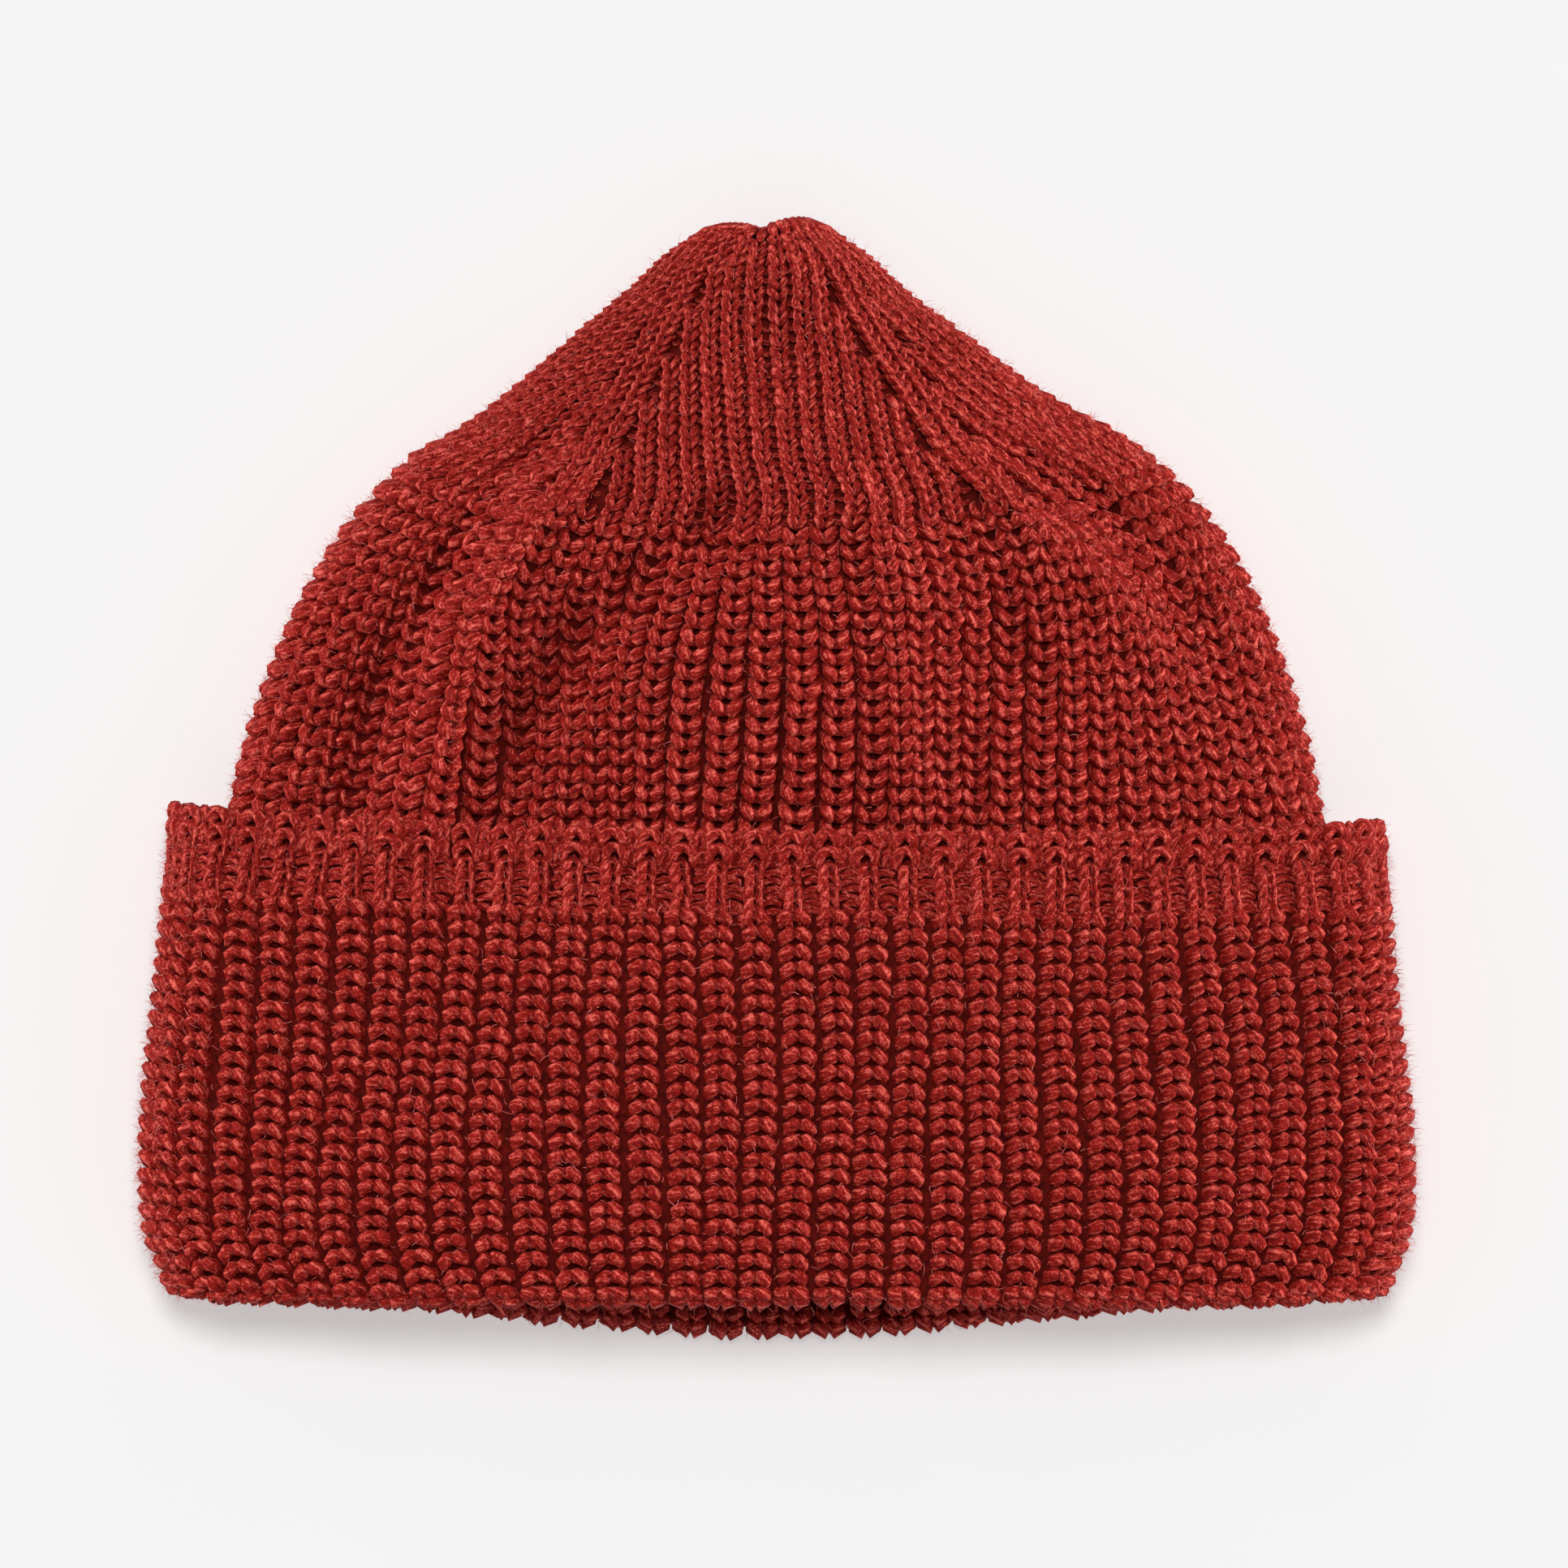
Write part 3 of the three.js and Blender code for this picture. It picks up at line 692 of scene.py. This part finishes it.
# across in ribs, along in rows, height in mm, thickness
BEANS = [
    (-0.24, 0.95, -3.20, 0.70),
    (-0.31, 0.55, -2.40, 0.85),
    (-0.32, 0.24, -1.30, 0.98),
    (-0.23, -0.02, -0.15, 1.08),
    (-0.11, -0.14, 0.00, 1.08),
    (0.00, -0.08, -0.95, 0.90),
]
CARDIGAN = [
    (-0.26, 1.00, -2.70, 0.70),
    (-0.32, 0.64, -1.75, 0.90),
    (-0.32, 0.33, -0.90, 0.98),
    (-0.23, 0.03, -0.08, 1.05),
    (-0.12, -0.14, 0.00, 1.06),
    (0.00, -0.12, -0.80, 0.92),
]
STEEP = [
    (-0.15, 1.10, -1.80, 0.60),
    (-0.26, 0.78, -0.95, 0.86),
    (-0.29, 0.40, -0.25, 1.02),
    (-0.21, 0.00, 0.00, 1.10),
    (-0.10, -0.30, -0.20, 1.02),
    (0.00, -0.48, -0.85, 0.82),
]
FRONT_POINTS, FRONT_SIDES = 9, 7
BACK_POINTS, BACK_SIDES = 7, 5
print("loop form, middle point:", form(CARDIGAN, FRONT_POINTS)[4].round(2))

# %% Lay loops on a cloth
chance_maker = np.random.default_rng(2024)


def lay(cloth, shape, share_at, along, row_height, lift, rib_width, wobble=0.04, uneven=0.0):
    """Paths of loops. share_at(along, across) gives each loop's share of the way round, along is its place in
    mm, lift its height in mm, rib_width the width in mm of a rib that isn't squeezed, and uneven how much
    bolder its left leg is than its right."""
    loops = len(along)
    normal = chance_maker.normal
    shift = normal(0, wobble, (loops, 1, 2))
    side = -np.sign(shape[None, :, 0]) * uneven
    height = shape[None, :, 2] + np.broadcast_to(lift, (loops,))[:, None] + normal(0, 0.08, (loops, 1)) + side
    middle, ahead = along[:, None] + np.zeros((1, 2)), along[:, None] + np.array([[-1.0, 1.0]])
    rib_ends = cloth.at(share_at(middle, np.array([[-0.5, 0.5]])), middle)
    row_ends = cloth.at(share_at(ahead, np.zeros((1, 2))), ahead)
    rib_step, row_step = rib_ends[:, 1] - rib_ends[:, 0], (row_ends[:, 1] - row_ends[:, 0]) / 2
    squeeze = np.clip(np.linalg.norm(rib_step, axis=1) / rib_width, 0.5, 1.2)[:, None]
    # a loop stands square on its rib, also where the rows cross it at a slant
    slant = (np.sum(rib_step * row_step, axis=1) / np.sum(row_step**2, axis=1))[:, None]
    across = shape[None, :, 0] * (1 + normal(0, 0.05, (loops, 1))) * squeeze**-0.5 + shift[..., 0] * 0.6
    at = along[:, None] + (shape[None, :, 1] + shift[..., 1]) * row_height - across * slant
    paths = cloth.at(share_at(at, across), at, height)
    # where rows spread, as on the shoulders of the hat, the yarn fills out
    spread = np.clip(np.linalg.norm(row_step, axis=1), 1.0, 1.6)[:, None] ** 0.7
    thick = shape[None, :, 3] * squeeze**0.4 * spread * (1 + normal(0, 0.04, (loops, 1))) * (1 + side)
    return paths, thick, chance_maker.random((loops, 1))


def bars(reach, drop, points=4):
    """Form of the thin strand that crosses the groove from one rib to the next."""
    t = np.linspace(0, 1, points)
    return np.stack(
        [reach + (1 - 2 * reach) * t, 0.3 - drop * np.sin(math.pi * t), 0 * t, 1 + 0 * t],
        axis=1,
    )


# %% Ribs and rows
def rib_share(rib):
    """Share of the way round of a rib, counted from the left end of the front panel."""
    return rib / RIBS - 1 / (2 * PANELS)


def field(ribs, rows):
    """Rib and distance along of every loop in a field."""
    rib, along = np.meshgrid(ribs, rows)
    return rib.ravel().astype(float), along.ravel()


HALF_RIBS = RIBS // 2
FIRST_FRONT_RIB = -HALF_RIBS // 4
FRONT_RIBS = np.arange(FIRST_FRONT_RIB, FIRST_FRONT_RIB + HALF_RIBS)
BACK_RIBS = FRONT_RIBS + HALF_RIBS
SIDES_OF_HAT = (
    ("front", FRONT_RIBS, FRONT_POINTS, FRONT_SIDES),
    ("back", BACK_RIBS, BACK_POINTS, BACK_SIDES),
)
print("ribs in front:", FRONT_RIBS[0], "to", FRONT_RIBS[-1])

# %% [markdown]
# ## The cuff
#
# Below its tight upper edge the cuff is cardigan rib: plump ribs 6.7 mm apart with a dark groove between
# them, 3.1 mm from row to row. Each loop shows as two beans side by side, and its legs sink into the
# groove. The same rib goes round the bottom fold and a little way up the inside, so that the opening looks
# right from below. Neither hand nor machine knits quite evenly, so the ribs wander a little.

# %% Cuff rib
CUFF_RIB, CUFF_ROW, CUFF_YARN = 6.7, 3.1, 1.24
INSIDE_END = FOLD_ALONG + math.pi * FOLD_RADIUS + 14


def wandering(rib):
    """Share of the way round for loops on ribs that wander a little along the cloth."""
    rib = rib[:, None]

    def share_at(along, across):
        wander = 0.09 * np.sin(0.5 * rib + along / 13) + 0.025 * np.sin(1.7 * rib - along / 29)
        return rib_share(rib + 0.5 + wander + across)

    return share_at


# the back of the cuff shows below the front's fold, so its yarn is nearly as fine
for side, ribs, sides in (("front", FRONT_RIBS, FRONT_SIDES), ("back", BACK_RIBS, 6)):
    rib, along = field(ribs, np.arange(EDGE_BAND + 1.0, INSIDE_END + 2, CUFF_ROW))
    plump = 0.16 * np.sin(1.3 * rib + along / 21)
    loops = lay(CUFF, form(BEANS, FRONT_POINTS), wandering(rib), along, CUFF_ROW, plump - 1.3, CUFF_RIB)
    strands(f"cuff_{side}_rib", "cuff", *loops, CUFF_YARN, sides)

# %% [markdown]
# ## The cuff's upper edge
#
# Here the knitting was begun. Two rows of round loops with a small dark eye in each form the very edge,
# with smaller loops between them. Then come rows of tight rib with thin legs, where the crossing strands
# show between the ribs as little bars.

# %% Edge loops and tight rib
EYE_LOOP = [
    (-0.13, 1.05, -2.10, 0.70),
    (-0.25, 0.70, -1.10, 0.92),
    (-0.28, 0.28, -0.25, 1.04),
    (-0.21, -0.10, 0.00, 1.10),
    (-0.10, -0.27, -0.10, 1.10),
    (0.00, -0.33, -0.35, 1.00),
]
BETWEEN_LOOP = [
    (-0.05, 1.00, -2.00, 0.80),
    (-0.11, 0.60, -0.90, 1.00),
    (-0.12, 0.20, -0.10, 1.05),
    (-0.07, -0.15, 0.00, 1.05),
    (0.00, -0.30, -0.10, 1.00),
]
THIN_LEGS = [
    (-0.10, 1.25, -1.40, 0.70),
    (-0.17, 0.85, -0.60, 0.95),
    (-0.18, 0.30, 0.00, 1.05),
    (-0.11, -0.25, -0.10, 1.00),
    (0.00, -0.55, -0.80, 0.80),
]
EDGE_ROW_HEIGHT, TIGHT_ROW, BAR_ROW = 2.7, 2.05, 1.4
EYE_YARN, BETWEEN_YARN, LEG_YARN, BAR_YARN = 1.02, 0.95, 0.88, 0.8
ALL_RIBS = np.arange(RIBS)
rib, along = field(ALL_RIBS, 1.5 + EDGE_ROW_HEIGHT * np.arange(2))
loops = lay(CUFF, form(EYE_LOOP, 9), wandering(rib), along, EDGE_ROW_HEIGHT, -0.8, CUFF_RIB)
strands("edge_eye_loops", "cuff_edge", *loops, EYE_YARN, 7)
loops = lay(CUFF, form(BETWEEN_LOOP, 7), wandering(rib + 0.5), along, EDGE_ROW_HEIGHT, -1.1, CUFF_RIB)
strands("edge_between_loops", "cuff_edge", *loops, BETWEEN_YARN, 6)
rib, along = field(ALL_RIBS, np.arange(6.7, EDGE_BAND + 1.2, TIGHT_ROW))
loops = lay(CUFF, form(THIN_LEGS, 7), wandering(rib), along, TIGHT_ROW, -1.3, CUFF_RIB, uneven=0.15)
strands("edge_rib", "cuff_edge", *loops, LEG_YARN, 6)
rib, along = field(ALL_RIBS, np.arange(6.4, EDGE_BAND + 1.0, BAR_ROW))
loops = lay(CUFF, bars(0.22, 0.5, 5), wandering(rib), along, BAR_ROW, -2.1, CUFF_RIB, wobble=0.12)
strands("edge_cross_strands", "cuff_edge", *loops, BAR_YARN, 5)

# %% [markdown]
# ## The body
#
# The same cardigan rib, but right way up: the loops are cups that open towards the tip. It begins a little
# below the cuff's edge, hidden behind it, and ends at the first narrowing row. The knit has slumped here,
# so some ribs stand plump and wide and others have sunk and crowd together. That is a short table too,
# which fades out towards the crown.

# %% Plump and sunken ribs
# rib, width as a share, height in mm
SLUMP = np.array([
    (-9.0, 1.45, 0.0),
    (-8.0, 1.25, 0.2),
    (-6.5, 1.05, 0.3),
    (-5.2, 0.85, -0.2),
    (-4.0, 0.74, -0.6),
    (-3.2, 0.85, -0.4),
    (-2.5, 1.15, 0.5),
    (-1.2, 1.20, 0.6),
    (-0.2, 1.00, 0.2),
    (1.0, 0.88, -0.4),
    (4.0, 0.86, -0.5),
    (5.6, 1.00, 0.0),
    (7.5, 1.18, 0.5),
    (10.0, 1.20, 0.6),
    (11.6, 0.95, 0.0),
    (13.0, 0.82, -0.4),
    (15.0, 0.88, -0.5),
    (17.0, 1.08, 0.3),
    (20.0, 0.95, -0.2),
    (24.0, 1.00, 0.0),
    (26.0, 1.25, 0.1),
    (27.0, 1.45, 0.0),
])
BODY_START = float(BODY_ALONG(EDGE_ROW)) - 5
CROWN_START = float(BODY_ALONG(1.0))
rib_middles = FRONT_RIBS + 0.5
rib_widths = through(SLUMP[:, 0], SLUMP[:, 1])(rib_middles)
rib_edges = np.concatenate([[0], np.cumsum(rib_widths)]) * HALF_RIBS / rib_widths.sum() + FIRST_FRONT_RIB
rib_lift = through(SLUMP[:, 0], SLUMP[:, 2])


def slumped(rib):
    """Share of the way round for loops on the body's ribs."""
    rib = rib[:, None]

    def share_at(along, across):
        place = rib + 0.5 + across
        wide = np.interp(place, np.arange(FIRST_FRONT_RIB, FIRST_FRONT_RIB + HALF_RIBS + 1), rib_edges)
        fade = smooth((CROWN_START - along) / 35) * (place < FIRST_FRONT_RIB + HALF_RIBS)
        wander = 0.08 * np.sin(0.6 * rib + along / 12)
        return rib_share(place + (wide - place) * fade + wander)

    return share_at


# %% Body rib
BODY_RIB, BODY_ROW, BODY_YARN = 6.0, 3.15, 1.2
for side, ribs, points, sides in SIDES_OF_HAT:
    rib, along = field(ribs, np.arange(CROWN_START - 1.6, BODY_START, -BODY_ROW))
    plump = rib_lift(rib + 0.5) * smooth((CROWN_START - along) / 30) * (side == "front")
    loops = lay(BODY, form(CARDIGAN, points), slumped(rib), along, BODY_ROW, plump - 1.2, BODY_RIB)
    strands(f"body_{side}_rib", "body", *loops, BODY_YARN, sides)

# %% [markdown]
# ## The crown
#
# Four gores of tighter rib. In each the ribs run straight up beside each other, and the narrowing lines
# between two gores cut them off one by one, from 18 down to 8. Along each side of a narrowing line runs one
# rib that follows it and stands a little proud. So a rib is known by its distance from the middle of its
# gore, and its place round the hat depends on how many ribs the gore still has at that height.

# %% Crown rib
CROWN_RIB, CROWN_ROW, CROWN_YARN, CROWN_BAR_YARN = 4.3, 2.1, 0.75, 0.62
CROWN_END = float(BODY_ALONG(1.97))
NARROWED = float(BODY_ALONG(1.84))


def gore_ribs(along):
    """How many ribs a gore has at a distance along the hat."""
    t = np.clip((along - CROWN_START) / (NARROWED - CROWN_START), 0, 1)
    return PANEL_RIBS + (TIP_RIBS - PANEL_RIBS) * t


def in_gore(panel, offset, border):
    """Share of the way round for loops in a gore. border is -1 or 1 beside a narrowing line and 0 inside."""
    panel, offset, border = panel[:, None], offset[:, None], border[:, None]

    def share_at(along, across):
        ribs = gore_ribs(along)
        from_middle = np.where(border == 0, offset, border * (ribs / 2 - 0.5))
        return (panel + (from_middle + across) / ribs) / PANELS

    return share_at


loops_at = []
for along in np.arange(CROWN_START + 1.0, CROWN_END, CROWN_ROW):
    ribs = float(gore_ribs(along))
    for panel in range(PANELS):
        for offset in np.arange(0.5 - PANEL_RIBS / 2, PANEL_RIBS / 2):
            if abs(offset) <= ribs / 2 - 1.25:
                loops_at.append((along, panel, offset, 0))
        loops_at += [(along, panel, 0, -1), (along, panel, 0, 1)]
loops_at = np.array(loops_at)
along, panel, offset, border = loops_at.T
middle = in_gore(panel, offset, border)(along[:, None], np.zeros((1, 1)))[:, 0]
in_front = np.cos(2 * math.pi * middle) >= 0
for (side, _, points, sides), chosen in zip(SIDES_OF_HAT, (in_front, ~in_front)):
    along, panel, offset, border = loops_at[chosen].T
    where = in_gore(panel, offset, border)
    lift = -0.95 + 0.4 * np.abs(border)
    loops = lay(BODY, form(STEEP, points), where, along, CROWN_ROW, lift, CROWN_RIB, uneven=0.1)
    strands(f"crown_{side}_rib", "crown", *loops, CROWN_YARN, sides)
    loops = lay(BODY, bars(0.28, 0.2), where, along, CROWN_ROW, -2.2, CROWN_RIB)
    strands(f"crown_{side}_cross_strands", "crown", *loops, CROWN_BAR_YARN, 4)

# %% [markdown]
# ## The drawn tip
#
# The last stitches are threaded on one strand and pulled tight, which leaves a little pucker with the ribs
# running into it. Here each of the 32 ribs at the tip gets one more strand, which goes over the edge and in
# to the middle, so the small opening above the last row is closed.

# %% Strands into the middle
share = (np.arange(PANELS * TIP_RIBS) + 0.5) / (PANELS * TIP_RIBS)
over_edge = [
    BODY.row(share, CROWN_END - 1.5, -1.0),
    BODY.row(share, CROWN_END, -0.6),
    BODY.row(share, BODY.along[-1] - 0.8, -0.9),
]
rim = over_edge[-1]
centre = rim.mean(axis=0)
# share of the way to the middle, and how far back into the hat in mm
for inward, forward in ((0.35, -0.6), (0.7, -1.4), (1.0, -2.6)):
    over_edge.append(rim + (centre - rim) * inward + np.array([0, forward, 0]))
paths = np.stack(over_edge, axis=1)
thick = np.array([[0.7, 1.0, 1.1, 1.0, 0.8, 0.5]]) * np.ones((len(share), 1))
chances = chance_maker.random((len(share), 1))
TIP_YARN = 0.95
strands("crown_drawn_tip", "crown", paths, thick, chances, TIP_YARN, 7)

# %% [markdown]
# ## What lies behind the loops
#
# Between the loops one sees the rest of the knit, in deep shade, not through the hat. A closed shell under
# the yarn stands for it: its outer side lies 2.3 to 2.6 mm deep, its inner side is the inside of the hat.
# Its wool is coloured darker than the yarn, which is painted shade.


# %% Shells
def face_between(cloth, row, next_row, column, columns):
    """A face between two rows of points, turned to look out of the cloth."""
    first, second = row * columns, next_row * columns
    beside = (column + 1) % columns
    face = (first + column, first + beside, second + beside, second + column)
    return face[::-1] if cloth is CUFF else face


def shell(name, node, cloth, start, stop, outer_depth, inner_depth, rows, closed_tip=False):
    """A closed wall under the yarn, between two depths of a cloth, with a soft rib on its inner side."""
    columns = RIBS * 2
    share = np.arange(columns) / columns - 1 / (2 * PANELS)
    along = np.linspace(start, stop, rows)
    wave = 0.4 * np.cos(math.pi * np.arange(columns))
    rings = [cloth.row(share, a, -outer_depth) for a in along]
    rings += [cloth.row(share, a, -inner_depth + wave) for a in along[::-1]]
    count = len(rings)
    faces = [
        face_between(cloth, r, (r + 1) % count, c, columns)
        for r in range(count)
        if not (closed_tip and r == rows - 1)
        for c in range(columns)
    ]
    points = (np.concatenate(rings) * MM).tolist()
    if closed_tip:
        # one fan of faces closes the outer wall, and one that faces the other way the inner wall
        for r, way in ((rows - 1, 1), (rows, -1)):
            edge = range(r * columns, (r + 1) * columns)
            middle = len(points)
            points.append(np.mean([points[i] for i in edge], axis=0).tolist())
            for i in edge:
                beside = edge[(i + 1 - edge[0]) % columns]
                faces.append((i, beside)[::way] + (middle,))
    mesh = bpy.data.meshes.new(name)
    mesh.from_pydata(points, [], faces)
    mesh.shade_smooth()
    mesh.materials.append(BACKING_IN_PAINTED_SHADE)
    PIECES[name] = (put_in_scene(name, mesh), node)
    TRIANGLES[name] = sum(len(face) - 2 for face in faces)
    print(f"{name}: {TRIANGLES[name]} triangles")


def wool_in_painted_shade():
    """The same wool between the loops or from behind, darkened as painted shade, with a soft uneven relief.
    """
    made, tree, shader = new_material("wool knit behind the loops, darkened as painted shade")
    place = add(tree, "ShaderNodeTexCoord")
    tangle = add(
        tree,
        "ShaderNodeTexNoise",
        {"Vector": place.outputs["Object"], "Scale": 1 / (1.6 * MM), "Detail": 4.0, "Distortion": 1.0},
    )
    tone = add(tree, "ShaderNodeValToRGB", {"Fac": tangle.outputs["Fac"]})
    # both stops are darker than the yarn's: painted shade
    for stop, position, shade in zip(tone.color_ramp.elements, (0.3, 0.75), ("#3a0603", "#6c110b")):
        stop.position = position
        stop.color = colour(shade)
    tree.links.new(tone.outputs["Color"], shader.inputs["Base Color"])
    height = tangle.outputs["Fac"]
    bump = add(tree, "ShaderNodeBump", {"Height": height, "Strength": 0.8, "Distance": 0.5 * MM})
    tree.links.new(bump.outputs["Normal"], shader.inputs["Normal"])
    shader.inputs["Roughness"].default_value = 0.92
    shader.inputs["Specular IOR Level"].default_value = 0.1
    return made


BACKING_IN_PAINTED_SHADE = wool_in_painted_shade()
CROWN_STOP = float(BODY_ALONG(1.95))
# depths of the outer and the inner face in mm, and rows of faces
shell("body_inside", "body", BODY, 14.6, CROWN_START, 2.6, 3.7, 38)
shell("crown_inside", "crown", BODY, CROWN_START + 0.2, CROWN_STOP, 2.3, 3.2, 24, closed_tip=True)
shell("cuff_inside", "cuff", CUFF, 0.8, INSIDE_END, 2.5, 3.7, 48)

# %% [markdown]
# ## Fuzz
#
# Wool is hairy. Fine ends stand off the yarn everywhere. They show most as a soft fringe along the outline,
# so more of them grow along the sides. Geometry Nodes scatter them over the cloth, lean them at random,
# thin them towards their ends and sweep a three-sided hair along each.


# %% The tree that grows the fuzz
def fuzz_tree():
    inputs = {"Skin": "Geometry", "Hairs per Square Metre": "Float", "Length": "Float"}
    inputs |= {"Hair Radius": "Float", "Seed": "Int", "Finish": "Material"}
    tree, given = start_tree("fuzz", inputs, "Hairs")
    points = add(
        tree,
        "GeometryNodeDistributePointsOnFaces",
        {
            "Mesh": given.outputs["Skin"],
            "Density": given.outputs["Hairs per Square Metre"],
            "Seed": given.outputs["Seed"],
        },
    )
    # a bent hair, about 1 long
    hair = add(
        tree,
        "GeometryNodeCurveQuadraticBezier",
        {"Resolution": 2, "Start": (0, 0, 0), "Middle": (0.05, 0, 0.55), "End": (0.55, 0, 0.85)},
    )
    lean = add(
        tree,
        "FunctionNodeRandomValue",
        {"Min": (-1.1, -1.1, 0.0), "Max": (1.1, 1.1, 6.28), "Seed": given.outputs["Seed"]},
        data_type="FLOAT_VECTOR",
    )
    turned = add(
        tree,
        "FunctionNodeRotateEuler",
        {"Rotation": points.outputs["Rotation"], "Rotate By": lean.outputs["Value"]},
        space="LOCAL",
    )
    scale = add(
        tree,
        "FunctionNodeRandomValue",
        {"Seed": given.outputs["Seed"], 2: 0.35, 3: 1.0},
        data_type="FLOAT",
    )
    length = add(
        tree,
        "ShaderNodeMath",
        {0: scale.outputs[1], 1: given.outputs["Length"]},
        operation="MULTIPLY",
    )
    placed = add(
        tree,
        "GeometryNodeInstanceOnPoints",
        {
            "Points": points.outputs["Points"],
            "Instance": hair.outputs["Curve"],
            "Rotation": turned.outputs["Rotation"],
            "Scale": length.outputs[0],
        },
    )
    real = add(tree, "GeometryNodeRealizeInstances", {"Geometry": placed.outputs["Instances"]})
    where = add(tree, "GeometryNodeSplineParameter")
    taper = add(
        tree,
        "ShaderNodeMapRange",
        {"Value": where.outputs["Factor"], "To Min": 1.0, "To Max": 0.25},
    )
    size = add(
        tree,
        "ShaderNodeMath",
        {0: taper.outputs["Result"], 1: given.outputs["Hair Radius"]},
        operation="MULTIPLY",
    )
    circle = add(tree, "GeometryNodeCurvePrimitiveCircle", {"Resolution": 3, "Radius": 1.0})
    swept = add(
        tree,
        "GeometryNodeCurveToMesh",
        {
            "Curve": real.outputs["Geometry"],
            "Profile Curve": circle.outputs["Curve"],
            "Scale": size.outputs[0],
            "Fill Caps": True,
        },
    )
    return end_tree(tree, given, swept.outputs["Mesh"], "Hairs")


FUZZ = fuzz_tree()


# %% The hairs' finish
def hair_wool():
    """Single wool fibres: thin enough to pass light, so paler than the yarn."""
    made, tree, shader = new_material("wool fibre ends")
    place = add(tree, "ShaderNodeTexCoord")
    patch = add(
        tree,
        "ShaderNodeTexNoise",
        {"Vector": place.outputs["Object"], "Scale": 1 / (3 * MM), "Detail": 1.0},
    )
    tone = add(tree, "ShaderNodeValToRGB", {"Fac": patch.outputs["Fac"]})
    for stop, position, shade in zip(tone.color_ramp.elements, (0.35, 0.7), ("#ac322a", "#d4706a")):
        stop.position = position
        stop.color = colour(shade)
    tree.links.new(tone.outputs["Color"], shader.inputs["Base Color"])
    shader.inputs["Roughness"].default_value = 0.6
    return made


HAIR = hair_wool()


# %% Grow it
def skin(cloth, start, stop, depth, sides_only):
    """The cloth's face as a coarse mesh for the hairs to stand on, all of it or patches along the sides."""
    columns, rows = 144, 30
    share = np.arange(columns) / columns
    at_side = np.exp(-((np.cos(2 * math.pi * share) / 0.17) ** 2))
    along = np.linspace(start, stop, rows)
    points = np.concatenate([cloth.row(share, a, -depth) for a in along]) * MM
    faces = []
    for r in range(rows - 1):
        for c in range(columns):
            face = face_between(cloth, r, r + 1, c, columns)
            # no hairs where the hat rests on the table
            clear = points[list(face), 2].min() > 3 * MM
            if clear and (not sides_only or chance_maker.random() < at_side[c]):
                faces.append(face)
    mesh = bpy.data.meshes.new("skin")
    mesh.from_pydata(points.tolist(), [], faces)
    return mesh


TIP = float(BODY_ALONG(1.99))
HAIRS_ALL_OVER, HAIRS_AT_SIDES = 70000.0, 520000.0
HAIR_LENGTH, HAIR_RADIUS, HAIR_ROOT = 2.3, 0.06, 0.6
for name, node, cloth, start, stop, sides_only, seed in (
    ("cuff_fuzz", "cuff", CUFF, 0.5, FOLD_ALONG + 14, False, 3),
    ("body_fuzz", "body", BODY, BODY_START + 4, CROWN_START, False, 5),
    ("crown_fuzz", "crown", BODY, CROWN_START, TIP, False, 7),
    ("cuff_side_fuzz", "cuff", CUFF, 0.5, FOLD_ALONG + 8, True, 11),
    ("body_side_fuzz", "body", BODY, BODY_START + 6, CROWN_START, True, 13),
    ("crown_side_fuzz", "crown", BODY, CROWN_START, TIP, True, 17),
):
    values = {
        "Hairs per Square Metre": HAIRS_AT_SIDES if sides_only else HAIRS_ALL_OVER,
        "Length": HAIR_LENGTH * MM,
        "Hair Radius": HAIR_RADIUS * MM,
        "Seed": seed,
        "Finish": HAIR,
    }
    piece = made_by(FUZZ, name, skin(cloth, start, stop, HAIR_ROOT, sides_only), values)
    PIECES[name] = (piece, node)

# %% [markdown]
# ## Tie the pieces to the hat's body
#
# The hat is soft, but nothing in it turns or slides, so it is one body. Every piece lies on that body and
# stands in for the solid that it dresses.

# %% Tie the pieces to the frame
for piece, node in PIECES.values():
    hat_only.objects.link(piece)
    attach(piece, "root")
    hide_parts(node)
print("triangles in all:", sum(TRIANGLES.values()))
